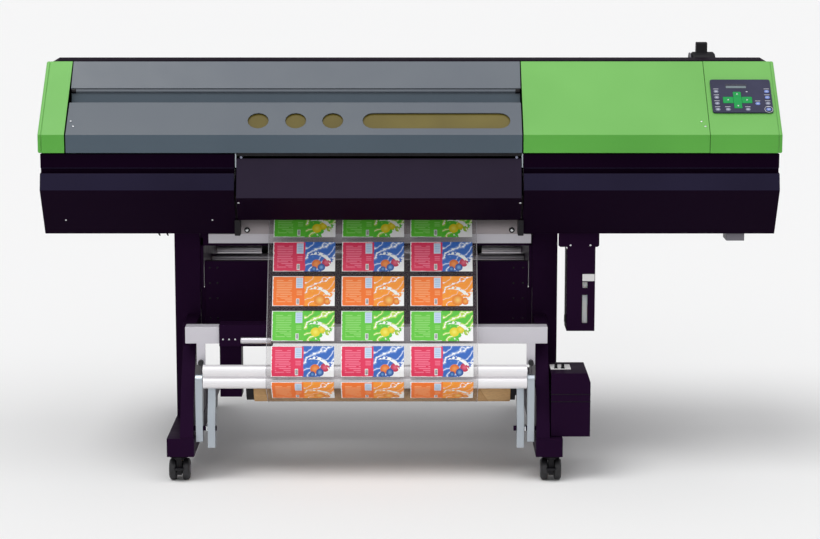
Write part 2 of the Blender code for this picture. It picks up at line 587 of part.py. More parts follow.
# ---------------------------------------------------------------- drain bottle
def drain_bottle():
    """Folded bracket under the head with two sight slots, open at the back, and its bottle."""
    front, back, sheet = -0.245, -0.170, SHEET
    outline = [(0.367, 0.326), (0.433, 0.326), (0.433, 0.5256), (0.4380, 0.5256), (0.4417, 0.5293),
               (0.4417, 0.5586), (0.3465, 0.5586), (0.3465, 0.5293), (0.3502, 0.5256), (0.367, 0.5256)]
    bracket = prism("drain_bottle_bracket", outline, "y", front, back, "black_paint")
    cut(bracket,
        box("bottle_space", 0.367 + sheet, 0.433 - sheet, front + sheet, back + 0.01, 0.326 + sheet, 0.5561),
        box("wing_space", 0.340, 0.450, front + sheet, back + 0.01, 0.515, 0.5561),
        box("sight_slot_upper", 0.4035, 0.4155, front - 0.01, front + 0.01, 0.4285, 0.4427),
        box("sight_slot_lower", 0.4035, 0.4155, front - 0.01, front + 0.01, 0.3451, 0.4118))
    body = rounded_rectangle(0.372, 0.428, -0.239, -0.183, 0.010)
    bottle = prism("drain_bottle", body, "z", 0.3290, 0.490, "bottle", (0.400, -0.211, 0.3290), True)
    join(bottle, turned("bottle_neck", [(0.489, 0.020), (0.505, 0.015), (0.540, 0.015)], "z", (0.400, -0.211),
                        "bottle", segments=16))


# ---------------------------------------------------------------- printed film
def tangent_angle(centre, radius, point, side):
    """Angle on a circle, in degrees, where a straight run from an outside point touches it."""
    offset = Vector(point) - Vector(centre)
    return math.degrees(math.atan2(offset.y, offset.x) + side * math.acos(radius / offset.length))


def printed_film():
    """Clear film from the supply roll over the platen, down over the guide bar and onto the tube."""
    clear = FILM_THICKNESS / 2 + 0.0006
    roll, lobe, tube = ROLL_RADIUS + clear, LOBE_RADIUS + clear, TUBE_RADIUS + clear
    rear_bend = [(0.268 + clear, 0.598), (0.268 + clear, 0.6285), (0.2458, FILM_LEVEL)]
    leaving = tangent_angle(ROLL_AXIS, roll, rear_bend[0], -1)
    front_edge = (-0.1672, FILM_LEVEL)
    upper, lower = (LOBE_Y, LOBE_UPPER), (LOBE_Y, LOBE_LOWER)
    landing = tangent_angle(upper, lobe, front_edge, 1)
    span = Vector(TUBE_AXIS) - Vector(lower)
    under = math.degrees(math.atan2(span.y, span.x) - math.acos((lobe - tube) / span.length)) + 360
    path = arc(ROLL_AXIS, roll, leaving - 30, leaving, 3) + rear_bend + [front_edge]
    path += arc(upper, lobe, landing, 180, 3) + arc(lower, lobe, 180, under, 4)
    path += arc(TUBE_AXIS, tube, under, 375, 9)
    count, half = len(path), FILM_THICKNESS / 2
    outline = ribbon(path, -half)[count:][::-1] + ribbon(path, half)[count:]
    prism("printed_film", outline, "x", FILM_LEFT, FILM_RIGHT, "film", smooth=True)


def build():
    for obj in list(bpy.data.objects):
        bpy.data.objects.remove(obj, do_unlink=True)
    head_frame()
    lower_housing("left_lower_housing", HOUSING_LEFT, MEDIA_LEFT, MEDIA_LEFT)
    lower_housing("right_lower_housing", MEDIA_RIGHT, HOUSING_RIGHT, MEDIA_RIGHT)
    hood_end("left_end_cover", -HEAD_HALF_WIDTH, COVER_LEFT - 0.001, -HEAD_HALF_WIDTH + SHEET, COVER_LEFT + 0.01)
    hood_sheet("right_cover", COVER_RIGHT + 0.001, PANEL_JOINT - 0.0005, "green_paint")
    hood_end("panel_cover", PANEL_JOINT + 0.0005, HEAD_HALF_WIDTH, PANEL_JOINT - 0.01, HEAD_HALF_WIDTH - SHEET)
    upper_cover()
    front_cover()
    uv_window_pane()
    rear_cover()
    loading_lever()
    front_apron()
    platen()
    print_carriage()
    feed_rollers()
    operation_panel()
    leg("left", *LEG_LEFT)
    leg("right", *LEG_RIGHT)
    back_panel()
    crossbar()
    for place_name, (x, y) in CASTERS.items():
        caster(place_name, x, y)
    supply_side()
    guide_bar()
    swing_arm("left", -0.466, -0.449)
    swing_arm("right", 0.246, 0.263)
    take_up_tube()
    tube_holder()
    take_up_motor()
    drain_bottle()
    printed_film()


build()
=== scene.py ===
"""Looks of the roll-to-roll ultraviolet label printer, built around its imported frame.

Metres, +Z up, +X to the operator's right, -Y towards the operator.
"""
import json
import math

import bmesh
import bpy
from mathutils import Matrix, Vector


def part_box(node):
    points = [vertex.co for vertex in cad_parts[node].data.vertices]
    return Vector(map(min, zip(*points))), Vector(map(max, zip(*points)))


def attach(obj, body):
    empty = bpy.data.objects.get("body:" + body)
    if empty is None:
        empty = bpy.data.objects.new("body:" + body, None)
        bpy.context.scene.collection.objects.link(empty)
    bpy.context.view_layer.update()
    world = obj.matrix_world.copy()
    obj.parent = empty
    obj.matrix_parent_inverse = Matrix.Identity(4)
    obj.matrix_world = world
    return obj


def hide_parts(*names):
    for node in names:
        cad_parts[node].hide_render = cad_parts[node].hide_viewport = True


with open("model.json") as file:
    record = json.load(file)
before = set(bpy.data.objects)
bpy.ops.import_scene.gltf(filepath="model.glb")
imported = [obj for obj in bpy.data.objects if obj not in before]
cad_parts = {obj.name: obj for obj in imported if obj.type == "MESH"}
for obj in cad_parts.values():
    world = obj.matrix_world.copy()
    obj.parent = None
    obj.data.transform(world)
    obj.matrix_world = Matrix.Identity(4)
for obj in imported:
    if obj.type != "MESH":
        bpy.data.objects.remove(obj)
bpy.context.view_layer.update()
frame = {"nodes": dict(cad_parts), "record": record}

MM = 0.001

# ------------------------------------------------------------------ lines shared with the frame
HOOD_TOP = Vector((0, -0.160, 0.952))        # upper edge of the slant
HOOD_CREASE = Vector((0, -0.325, 0.797))     # where the slant meets the upright lip
SLOPE = math.atan2(HOOD_TOP.z - HOOD_CREASE.z, HOOD_TOP.y - HOOD_CREASE.y)
HINGE_LINE = Vector((0, -0.2095, 0.8870))
SWING_PIVOT = Vector((0, -0.365, 0.121))
PLATEN_EDGE = (-0.1672, 0.6530)              # where the film leaves the platen, as (y, z)
PLATEN_FOLD = (0.2458, 0.6300)               # centre of the film's bend over the platen's rear fold
FOLD_RADIUS = 0.0230
WOUND_RADIUS = 0.055                         # of the film on the supply roll
TOP_RIDGE = Vector((0, -0.128, 0.9590))      # front edge of the rear cover's sloping top
TOP_EAVE = Vector((0, 0.285, 0.9050))
REAR_FACE = 0.2852                           # back of the rear cover


# ------------------------------------------------------------------ camera first
def set_camera():
    """A long lens in front of the machine, a little above the hood."""
    data = bpy.data.cameras.new("front_view")
    data.lens = 99.2
    data.sensor_width = 36
    camera = bpy.data.objects.new("front_view", data)
    camera.location = (0, -5.455, 1.335)
    camera.rotation_euler = (math.radians(90 - 9.4), 0, 0)
    bpy.context.collection.objects.link(camera)
    bpy.context.scene.camera = camera


# ------------------------------------------------------------------ colours and nodes
def colour(code):
    """A linear RGBA colour from an sRGB hex code."""
    channels = [int(code[i:i + 2], 16) / 255 for i in (0, 2, 4)]
    bent = [c / 12.92 if c <= 0.04045 else ((c + 0.055) / 1.055) ** 2.4 for c in channels]
    return (*bent, 1)


def add(tree, kind, links=None, **settings):
    """Add one node; `links` maps an input's name or number to a value or to another node's socket."""
    node = tree.nodes.new(kind)
    for name, value in settings.items():
        setattr(node, name, value)
    for name, value in (links or {}).items():
        if isinstance(value, bpy.types.NodeSocket):
            tree.links.new(value, node.inputs[name])
        else:
            node.inputs[name].default_value = value
    return node


def new_material(name, base="808080", roughness=0.5, metallic=0.0, **sockets):
    """A Principled material; further sockets are given by name with underscores for spaces."""
    material = bpy.data.materials.new(name)
    material.use_nodes = True
    tree = material.node_tree
    shader = tree.nodes["Principled BSDF"]
    shader.inputs["Base Color"].default_value = colour(base)
    shader.inputs["Roughness"].default_value = roughness
    shader.inputs["Metallic"].default_value = metallic
    for key, value in sockets.items():
        shader.inputs[key.replace("_", " ")].default_value = value
    return material, tree, shader


def ramp(tree, factor, *stops):
    """A colour ramp with (position, hex) stops."""
    node = add(tree, "ShaderNodeValToRGB", {"Fac": factor})
    elements = node.color_ramp.elements
    while len(elements) < len(stops):
        elements.new(0.5)
    for element, (position, code) in zip(elements, stops):
        element.position = position
        element.color = colour(code)
    return node.outputs["Color"]


def mottle(tree, place, size_mm, low, high, detail=3.0, stretch=(1, 1, 1)):
    """Noise about size_mm across, remapped to run from low to high."""
    scaled = add(tree, "ShaderNodeMapping", {"Vector": place, "Scale": stretch})
    noise = add(tree, "ShaderNodeTexNoise",
                {"Vector": scaled.outputs["Vector"], "Scale": 1 / (size_mm * MM), "Detail": detail})
    spread = add(tree, "ShaderNodeMapRange",
                 {"Value": noise.outputs["Fac"], "From Min": 0.3, "From Max": 0.7, "To Min": low,
                  "To Max": high})
    return spread.outputs["Result"]


def raise_surface(tree, shader, height, depth_mm, before=None):
    """Bump from a height of depth_mm, on top of an earlier bump if one is given."""
    links = {"Height": height, "Distance": depth_mm * MM, "Strength": 1.0}
    if before is not None:
        links["Normal"] = before
    bump = add(tree, "ShaderNodeBump", links)
    tree.links.new(bump.outputs["Normal"], shader.inputs["Normal"])
    return bump.outputs["Normal"]


def object_place(tree):
    return add(tree, "ShaderNodeTexCoord").outputs["Object"]


def arithmetic(tree, operation, *values):
    """The result of one maths node."""
    return add(tree, "ShaderNodeMath", dict(enumerate(values)), operation=operation).outputs[0]


# ------------------------------------------------------------------ materials
def enamel(name, base, shade, roughness, coat, shine=0.4, sheen="FFFFFF"):
    """Sprayed and baked enamel: faint orange peel, a slow drift of tone and slightly uneven gloss.

    The sheen is the colour of its dull reflection, violet on the black parts.
    """
    material, tree, shader = new_material(name, base, roughness, Coat_Weight=coat, Coat_Roughness=0.12,
                                          Specular_IOR_Level=shine, Specular_Tint=colour(sheen))
    place = object_place(tree)
    drift = mottle(tree, place, 260, 0.0, 1.0, 2.0)
    tone = ramp(tree, drift, (0.0, base), (1.0, shade))
    tree.links.new(tone, shader.inputs["Base Color"])
    gloss = mottle(tree, place, 45, roughness - 0.04, roughness + 0.05, 4.0)
    tree.links.new(gloss, shader.inputs["Roughness"])
    peel = mottle(tree, place, 2.2, 0.0, 1.0, 2.0)
    raise_surface(tree, shader, peel, 0.012)
    return material


def moulded_plastic(name, base, roughness=0.45, grain_mm=0.9, depth_mm=0.03):
    """Injection-moulded ABS with a fine spark-eroded texture."""
    material, tree, shader = new_material(name, base, roughness, IOR=1.5, Specular_IOR_Level=0.25)
    place = object_place(tree)
    tree.links.new(mottle(tree, place, 30, roughness - 0.06, roughness + 0.08), shader.inputs["Roughness"])
    raise_surface(tree, shader, mottle(tree, place, grain_mm, 0.0, 1.0, 2.0), depth_mm)
    return material


def drawn_aluminium(name, base="D6D3D8", roughness=0.30, metallic=0.85):
    """Drawn along X: fine die lines under a clear finish and a soft satin gleam."""
    material, tree, shader = new_material(name, base, roughness, metallic)
    place = object_place(tree)
    lines = mottle(tree, place, 1.2, 0.0, 1.0, 4.0, stretch=(0.01, 1, 1))
    tree.links.new(mottle(tree, place, 3, roughness - 0.03, roughness + 0.05, 4.0, (0.02, 1, 1)),
                   shader.inputs["Roughness"])
    raise_surface(tree, shader, lines, 0.004)
    return material


def zinc_plate(name, base="B4BCC3", roughness=0.32):
    """Zinc-plated steel: a faint crystal mottle in the gloss under a clear passivation."""
    material, tree, shader = new_material(name, base, roughness, 0.9)
    place = object_place(tree)
    cells = add(tree, "ShaderNodeTexVoronoi", {"Vector": place, "Scale": 1 / (5 * MM)})
    dull = add(tree, "ShaderNodeMapRange", {"Value": cells.outputs["Distance"], "To Min": roughness - 0.03,
                                            "To Max": roughness + 0.06})
    tree.links.new(dull.outputs["Result"], shader.inputs["Roughness"])
    raise_surface(tree, shader, mottle(tree, place, 14, 0.0, 1.0), 0.01)
    return material


def blasted_steel(name, base):
    """Bead-blasted bed plate with a dull, even grain."""
    material, tree, shader = new_material(name, base, 0.42, 0.55)
    place = object_place(tree)
    raise_surface(tree, shader, mottle(tree, place, 1.0, 0.0, 1.0), 0.02)
    tree.links.new(mottle(tree, place, 40, 0.36, 0.5), shader.inputs["Roughness"])
    return material


def filter_glass():
    """Amber acrylic that holds back ultraviolet light: polished, deep and only faintly clear."""
    material, tree, shader = new_material("amber_acrylic", "7A6E38", 0.10, IOR=1.49)
    shader.inputs["Transmission Weight"].default_value = 0.15
    place = object_place(tree)
    tone = ramp(tree, mottle(tree, place, 180, 0, 1, 2.0), (0.0, "6E6230"), (1.0, "80743A"))
    tree.links.new(tone, shader.inputs["Base Color"])
    return material


def kraft_board():
    """Spirally wound kraft board: the overlap shows as a slanting line every 95 mm, over fine fibre."""
    material, tree, shader = new_material("kraft_board", "C09A6C", 0.82)
    place = object_place(tree)
    axes = add(tree, "ShaderNodeSeparateXYZ", {"Vector": place})
    lean = arithmetic(tree, "MULTIPLY", axes.outputs["Z"], 0.6)
    along = arithmetic(tree, "ADD", axes.outputs["X"], lean)
    turn = arithmetic(tree, "FRACT", arithmetic(tree, "DIVIDE", along, 0.095))
    seam = ramp(tree, turn, (0.0, "9A7444"), (0.03, "C6A070"), (1.0, "BA9262"))
    fibre = mottle(tree, place, 2.5, 0.86, 1.08, 6.0, stretch=(0.25, 1, 1))
    tone = add(tree, "ShaderNodeVectorMath", {0: seam, 1: (1, 1, 1)}, operation="SCALE")
    tree.links.new(fibre, tone.inputs["Scale"])
    tree.links.new(tone.outputs["Vector"], shader.inputs["Base Color"])
    raise_surface(tree, shader, mottle(tree, place, 1.5, 0.0, 1.0, 4.0, (0.3, 1, 1)), 0.05)
    return material


def clear_film(name="clear_polyester_film", base="827A7C", alpha=0.13):
    """Polyester film: glossy, nearly clear, with a faint veil and slow ripples."""
    material, tree, shader = new_material(name, base, 0.16, IOR=1.5, Alpha=alpha, Specular_IOR_Level=0.5)
    raise_surface(tree, shader, mottle(tree, object_place(tree), 120, 0.0, 1.0, 0.0), 0.15)
    return material


def tyre_rubber():
    """Moulded caster tyre: matt, with scuffed tone."""
    material, tree, shader = new_material("caster_tyre", "1B1A1D", 0.55)
    place = object_place(tree)
    tone = ramp(tree, mottle(tree, place, 14, 0, 1, 5.0), (0.0, "141316"), (1.0, "29282C"))
    tree.links.new(tone, shader.inputs["Base Color"])
    raise_surface(tree, shader, mottle(tree, place, 1.2, 0.0, 1.0), 0.04)
    return material


def blown_bottle():
    """Translucent blow-moulded polyethylene."""
    material, tree, shader = new_material("blown_polyethylene", "C9CBCC", 0.35, IOR=1.5)
    shader.inputs["Subsurface Weight"].default_value = 0.25
    shader.inputs["Subsurface Scale"].default_value = 0.01
    raise_surface(tree, shader, mottle(tree, object_place(tree), 25, 0.0, 1.0), 0.15)
    return material


def panel_membrane():
    """Screen-printed polyester membrane over the operation panel."""
    material, tree, shader = new_material("panel_membrane", "37374E", 0.42, IOR=1.5, Specular_IOR_Level=0.2)
    place = object_place(tree)
    tone = ramp(tree, mottle(tree, place, 60, 0, 1, 2.0), (0.0, "333349"), (1.0, "3B3B54"))
    tree.links.new(tone, shader.inputs["Base Color"])
    raise_surface(tree, shader, mottle(tree, place, 0.8, 0.0, 1.0), 0.02)
    return material


def screen_ink(name, base, roughness=0.5):
    """Screen-printed ink or a printed vinyl notice: an even film with a very faint mesh texture."""
    material, tree, shader = new_material(name, base, roughness)
    place = object_place(tree)
    tree.links.new(mottle(tree, place, 6, roughness - 0.05, roughness + 0.05), shader.inputs["Roughness"])
    raise_surface(tree, shader, mottle(tree, place, 0.4, 0.0, 1.0, 1.0), 0.004)
    return material


def display_glass():
    """Grey-green liquid-crystal display behind a clear hard-coated window."""
    material, tree, shader = new_material("display_glass", "6F7F84", 0.15)
    tone = ramp(tree, mottle(tree, object_place(tree), 25, 0, 1, 1.0), (0.0, "697A7E"), (1.0, "76868A"))
    tree.links.new(tone, shader.inputs["Base Color"])
    return material


def make_materials():
    return {
        "green": enamel("green_enamel", "76BE5C", "6CB452", 0.36, 0.10),
        "grey": enamel("blue_grey_enamel", "656C73", "5F666F", 0.38, 0.08),
        "black": enamel("violet_black_enamel", "0F0312", "0C020F", 0.42, 0.0, 0.08, "C080E0"),
        "stand": enamel("violet_black_powder_coat", "220F27", "1D0C22", 0.46, 0.0, 0.07, "C080E0"),
        # painted shade: a darker copy of the blue-grey enamel for the upright lip and riser, which face away
        # from the light
        "grey_painted_shade": enamel("blue_grey_enamel_painted_shade", "485763", "43525E", 0.38, 0.08),
        # painted shade: a darker copy of the green enamel for the upright lips, which face away from the
        # light
        "green_painted_shade": enamel("green_enamel_painted_shade", "59AE3D", "50A236", 0.36, 0.10),
        "apron": enamel("glossy_black_enamel", "181121", "140E1C", 0.32, 0.0, 0.35, "D8C4EC"),
        # painted reflection: a lighter bluish black that stands in for the light reflected by the housings'
        # upward-facing band and ledge edge
        "painted_reflection": enamel("painted_reflection_on_black", "1F1C31", "1A172A", 0.40, 0.0, 0.15, "D8C4EC"),
        "black_matt": moulded_plastic("black_abs", "121015", 0.50),
        "black_gloss": moulded_plastic("polished_black_abs", "0E0C12", 0.25, 1.5, 0.01),
        "aluminium": drawn_aluminium("anodised_aluminium"),
        "bar": drawn_aluminium("silver_painted_bar", "D2CFD6", 0.42, 0.15),
        "satin": drawn_aluminium("satin_guide_bar", "F2F0F2", 0.34, 0.35),
        "zinc": zinc_plate("zinc_plated_steel"),
        "screw": zinc_plate("bright_screw", "D8DADC", 0.25),
        "platen": blasted_steel("blasted_platen", "A39B9D"),
        "amber": filter_glass(),
        "kraft": kraft_board(),
        "film": clear_film(),
        "film_edge": clear_film("trimmed_film_edge", "DCDAE0", 0.35),
        "tyre": tyre_rubber(),
        "bottle": blown_bottle(),
        "panel": panel_membrane(),
        "key_grey": moulded_plastic("grey_key", "8A8EA2", 0.42, 0.8, 0.01),
        "key_green": moulded_plastic("green_key", "129A4A", 0.40, 0.8, 0.01),
        "key_blue": moulded_plastic("blue_key", "7C90D2", 0.40, 0.8, 0.01),
        "mark": screen_ink("pale_print", "D4D6DE"),
        "display": display_glass(),
        "display_dark": screen_ink("display_frame", "26263A", 0.3),
        "notice": screen_ink("blank_notice", "E4E3E2"),
        "foot_grey": moulded_plastic("grey_nylon", "77747C", 0.5),
        "socket": moulded_plastic("socket_black", "0B0A0D", 0.35, 0.8, 0.01),
    }


# ------------------------------------------------------------------ modelling by hand
def select_only(obj):
    bpy.ops.object.select_all(action="DESELECT")
    obj.select_set(True)
    bpy.context.view_layer.objects.active = obj


def settle(obj, name, material):
    """Name a new piece, put its place in its mesh and give it its material."""
    select_only(obj)
    bpy.ops.object.transform_apply(location=True, rotation=True, scale=True)
    obj.name = name
    obj.data.name = name
    obj.data.materials.clear()
    obj.data.materials.append(material)
    return obj


def apply_bevel(obj, width, segments=2, angle=30):
    """Round the edges sharper than the angle, and shade the result smooth; no width leaves them sharp."""
    if not width:
        return obj
    select_only(obj)
    bevel = obj.modifiers.new("edges", "BEVEL")
    bevel.width = width
    bevel.segments = segments
    bevel.limit_method = "ANGLE"
    bevel.angle_limit = math.radians(angle)
    bevel.harden_normals = False
    bpy.ops.object.modifier_apply(modifier=bevel.name)
    bpy.ops.object.shade_smooth_by_angle(angle=math.radians(40))
    even = obj.modifiers.new("flat_faces", "WEIGHTED_NORMAL")
    even.keep_sharp = True
    even.weight = 100
    bpy.ops.object.modifier_apply(modifier=even.name)
    return obj


def fix(obj, slot):
    """Fasten a finished piece to the base."""
    return put(obj, "base", slot)


def put(obj, body, slot, *replaced):
    """Tie a finished piece to its body and hide the solids it stands for; the slot is not used."""
    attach(obj, body)
    if replaced:
        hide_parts(*replaced)
    return obj


def block(name, low, high, material, bevel=0.0008, segments=2):
    """A block between two corners with rounded edges."""
    low, high = Vector(low), Vector(high)
    bpy.ops.mesh.primitive_cube_add(size=1, location=(low + high) / 2)
    obj = bpy.context.active_object
    obj.scale = high - low
    settle(obj, name, material)
    return apply_bevel(obj, bevel, segments)


def rod(name, start, end, radius, material, vertices=32, bevel=0.0008):
    """A round bar between two points with rounded ends."""
    start, end = Vector(start), Vector(end)
    run = end - start
    bpy.ops.mesh.primitive_cylinder_add(vertices=vertices, radius=radius, depth=run.length,
                                        location=(start + end) / 2,
                                        rotation=run.to_track_quat("Z", "Y").to_euler())
    obj = settle(bpy.context.active_object, name, material)
    return apply_bevel(obj, bevel, 2)


def ring(name, centre, axis, radius, thickness, material, major, minor):
    """A round section ring about an axis."""
    bpy.ops.mesh.primitive_torus_add(major_radius=radius, minor_radius=thickness, major_segments=major,
                                     minor_segments=minor, location=centre,
                                     rotation=Vector(axis).to_track_quat("Z", "Y").to_euler())
    obj = settle(bpy.context.active_object, name, material)
    bpy.ops.object.shade_smooth()
    return obj


def joined(pieces, name):
    """Several finished pieces as one object."""
    bpy.ops.object.select_all(action="DESELECT")
    for piece in pieces:
        piece.select_set(True)
    bpy.context.view_layer.objects.active = pieces[0]
    if len(pieces) > 1:
        bpy.ops.object.join()
    pieces[0].name = name
    pieces[0].data.name = name
    return pieces[0]


def pan_screw(centre, normal, radius, material):
    """A pan-head screw with a cross recess, standing on a surface."""
    bpy.ops.mesh.primitive_cylinder_add(vertices=20, radius=radius, depth=radius * 0.6,
                                        location=(0, 0, radius * 0.3))
    head = bpy.context.active_object
    bpy.ops.object.mode_set(mode="EDIT")
    bpy.ops.mesh.select_all(action="DESELECT")
    mesh = bmesh.from_edit_mesh(head.data)
    for face in mesh.faces:
        face.select_set(face.normal.z > 0.9)
    bmesh.update_edit_mesh(head.data)
    bpy.ops.mesh.inset(thickness=radius * 0.30, depth=radius * 0.18)
    bpy.ops.mesh.inset(thickness=radius * 0.30, depth=0)
    bpy.ops.mesh.extrude_region_move(TRANSFORM_OT_translate={"value": (0, 0, -radius * 0.35)})
    bpy.ops.object.mode_set(mode="OBJECT")
    head.rotation_euler = Vector(normal).to_track_quat("Z", "Y").to_euler()
    head.location = centre
    settle(head, "screw", material)
    bpy.ops.object.shade_smooth_by_angle(angle=math.radians(40))
    return head


def copies(piece, offsets):
    """The piece itself and one copy, with its own mesh, for each further offset."""
    pieces = [piece]
    for offset in offsets:
        twin = bpy.data.objects.new(piece.name, piece.data.copy())
        bpy.context.collection.objects.link(twin)
        twin.data.transform(Matrix.Translation(Vector(offset)))
        pieces.append(twin)
    return pieces


def screws(name, places, normal, radius, material, body="base"):
    """One pan-head screw, copied to every place."""
    places = [Vector(place) for place in places]
    first = pan_screw(places[0], normal, radius, material)
    heads = copies(first, [place - places[0] for place in places[1:]])
    return put(joined(heads, name), body, "plated_steel")


def body_of(node):
    """The CAD body that a node belongs to."""
    bodies = frame["record"]["behaviour"]["bodies"]
    return next(body for body, nodes in bodies.items() if node in nodes)


def slot_of(node):
    return next(s["material_slot"] for s in frame["record"]["subparts"] if s["node"] == node)


def welded_copy(node, material):
    """A copy of a CAD solid with its vertices welded and its flat faces made whole again."""
    source = frame["nodes"][node]
    piece = bpy.data.objects.new(node + "_finished", source.data.copy())
    bpy.context.collection.objects.link(piece)
    piece.data.materials.clear()
    select_only(piece)
    bpy.ops.object.mode_set(mode="EDIT")
    bpy.ops.mesh.select_all(action="SELECT")
    bpy.ops.mesh.remove_doubles(threshold=0.00002)
    bpy.ops.mesh.dissolve_limited(angle_limit=math.radians(0.6))
    bpy.ops.object.mode_set(mode="OBJECT")
    piece.data.materials.append(material)
    return piece


def finished_copy(node, material, bevel=0.0008, segments=2, angle=30, rounded=None, cutters=(), paint=None):
    """Show a welded copy of a solid in its place, with edges rounded.

    rounded = (test, width) first rounds the edges whose middle passes the test to a larger radius;
    cutters are blocks taken away; paint = (test, material) gives another finish to the faces whose middle
    passes.
    """
    piece = welded_copy(node, material)
    if rounded:
        round_edges(piece, *rounded)
    for cutter in cutters:
        take_away(piece, cutter)
    if bevel:
        apply_bevel(piece, bevel, segments, angle)
    if paint:
        test, other = paint
        piece.data.materials.append(other)
        for face in piece.data.polygons:
            if test(face.center):
                face.material_index = 1
    return put(piece, body_of(node), slot_of(node), node)


def round_edges(piece, test, width):
    """Round, to a larger radius, the sharp edges whose middle passes the test."""
    select_only(piece)
    bpy.ops.object.mode_set(mode="EDIT")
    bpy.ops.mesh.select_mode(type="EDGE")
    bpy.ops.mesh.select_all(action="DESELECT")
    mesh = bmesh.from_edit_mesh(piece.data)
    for edge in mesh.edges:
        middle = (edge.verts[0].co + edge.verts[1].co) / 2
        sharp = len(edge.link_faces) == 2 and edge.calc_face_angle(0) > math.radians(30)
        if sharp and test(middle):
            edge.select_set(True)
    bmesh.update_edit_mesh(piece.data)
    bpy.ops.mesh.bevel(offset=width, segments=5)
    bpy.ops.object.mode_set(mode="OBJECT")


def take_away(piece, cutter):
    """Cut one piece with another and throw the cutter away."""
    select_only(piece)
    cut = piece.modifiers.new("cut", "BOOLEAN")
    cut.operation = "DIFFERENCE"
    cut.solver = "EXACT"
    cut.object = cutter
    bpy.ops.object.modifier_apply(modifier=cut.name)
    bpy.data.objects.remove(cutter)


# ------------------------------------------------------------------ places on the hood
def on_slope(x, up, lift=0.0):
    """A point on the hood's main slant, `up` metres from the crease and `lift` above it."""
    return Vector((x, HOOD_CREASE.y + up * math.cos(SLOPE) - lift * math.sin(SLOPE),
                   HOOD_CREASE.z + up * math.sin(SLOPE) + lift * math.cos(SLOPE)))


SLOPE_NORMAL = Vector((0, -math.sin(SLOPE), math.cos(SLOPE)))


def slope_tile(name, x0, x1, up0, up1, base, top, material, bevel=0.0003):
    """A thin tile lying on the slant, from `base` to `top` above it."""
    bpy.ops.mesh.primitive_cube_add(size=1, location=((x0 + x1) / 2, (up0 + up1) / 2, (base + top) / 2))
    tile = bpy.context.active_object
    tile.scale = (x1 - x0, up1 - up0, top - base)
    settle(tile, name, material)
    tile.rotation_euler = (SLOPE, 0, 0)
    tile.location = HOOD_CREASE
    settle(tile, name, material)
    return apply_bevel(tile, bevel, 1)


# ------------------------------------------------------------------ film path
def arc_points(centre, radius, start, end, steps):
    turns = [math.radians(start + (end - start) * k / steps) for k in range(steps + 1)]
    return [(centre[0] + radius * math.cos(t), centre[1] + radius * math.sin(t)) for t in turns]


def film_route():
    """The film's middle line in the YZ plane, from the supply roll to its last turn on the tube."""
    roll_low, roll_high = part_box("supply_roll")
    roll = ((roll_low.y + roll_high.y) / 2, (roll_low.z + roll_high.z) / 2)
    bar_low, bar_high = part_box("guide_bar")
    tube_low, tube_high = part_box("take_up_tube")
    lobe = (bar_high.y - bar_low.y) / 2
    lobe_y = (bar_high.y + bar_low.y) / 2
    upper, lower = (lobe_y, bar_high.z - lobe), (lobe_y, bar_low.z + lobe)
    tube = ((tube_low.y + tube_high.y) / 2, (tube_low.z + tube_high.z) / 2)
    clear = 0.0010
    roll_radius, lobe_radius = WOUND_RADIUS + clear, lobe + clear
    tube_radius = (tube_high.y - tube_low.y) / 2 + clear
    rear = [(0.269, 0.598), (0.269, 0.6285)] + arc_points(PLATEN_FOLD, FOLD_RADIUS, 12, 90, 8)[1:]
    offset = Vector(rear[0]) - Vector(roll)
    leaving = math.degrees(math.atan2(offset.y, offset.x) - math.acos(roll_radius / offset.length))
    offset = Vector(PLATEN_EDGE) - Vector(upper)
    landing = math.degrees(math.atan2(offset.y, offset.x) + math.acos(lobe_radius / offset.length))
    span = Vector(tube) - Vector(lower)
    under = math.degrees(math.atan2(span.y, span.x)
                         - math.acos((lobe_radius - tube_radius) / span.length)) + 360
    route = arc_points(roll, roll_radius, leaving - 30, leaving, 6) + rear + [PLATEN_EDGE]
    first = len(route) - 1
    route += arc_points(upper, lobe_radius, landing, 180, 6)
    route += arc_points(lower, lobe_radius, 180, under, 14)
    route += arc_points(tube, tube_radius, under, 375, 24)
    return [Vector(p) for p in route], first


class Route:
    """A polyline that can be read by the distance travelled from one of its points."""

    def __init__(self, points, zero):
        self.points = points
        self.at = [0.0]
        for a, b in zip(points, points[1:]):
            self.at.append(self.at[-1] + (b - a).length)
        shift = self.at[zero]
        self.at = [s - shift for s in self.at]

    def place(self, distance, lift):
        """The (y, z) point at a distance, moved out of the film by lift on its printed side."""
        index = 0
        while index < len(self.points) - 2 and self.at[index + 1] < distance:
            index += 1
        a, b = self.points[index], self.points[index + 1]
        way = (b - a).normalized()
        spot = a + way * (distance - self.at[index])
        return spot + Vector((way.y, -way.x)) * lift


def laid_on_route(name, route, x0, x1, start, end, steps, lift, material, columns=2):
    """A strip of film or label that follows the route from start to end."""
    bpy.ops.mesh.primitive_grid_add(x_subdivisions=columns, y_subdivisions=steps, size=1)
    strip = bpy.context.active_object
    for vertex in strip.data.vertices:
        across, along = vertex.co.x + 0.5, 0.5 - vertex.co.y
        distance = start + (end - start) * along
        y, z = route.place(distance, lift)
        vertex.co = (x0 + (x1 - x0) * across, y, z)
    settle(strip, name, material)
    return strip


def thicken(obj, thickness):
    """Give a sheet its wall, half to each side."""
    select_only(obj)
    wall = obj.modifiers.new("wall", "SOLIDIFY")
    wall.thickness = thickness
    wall.offset = 0
    bpy.ops.object.modifier_apply(modifier=wall.name)
    return obj


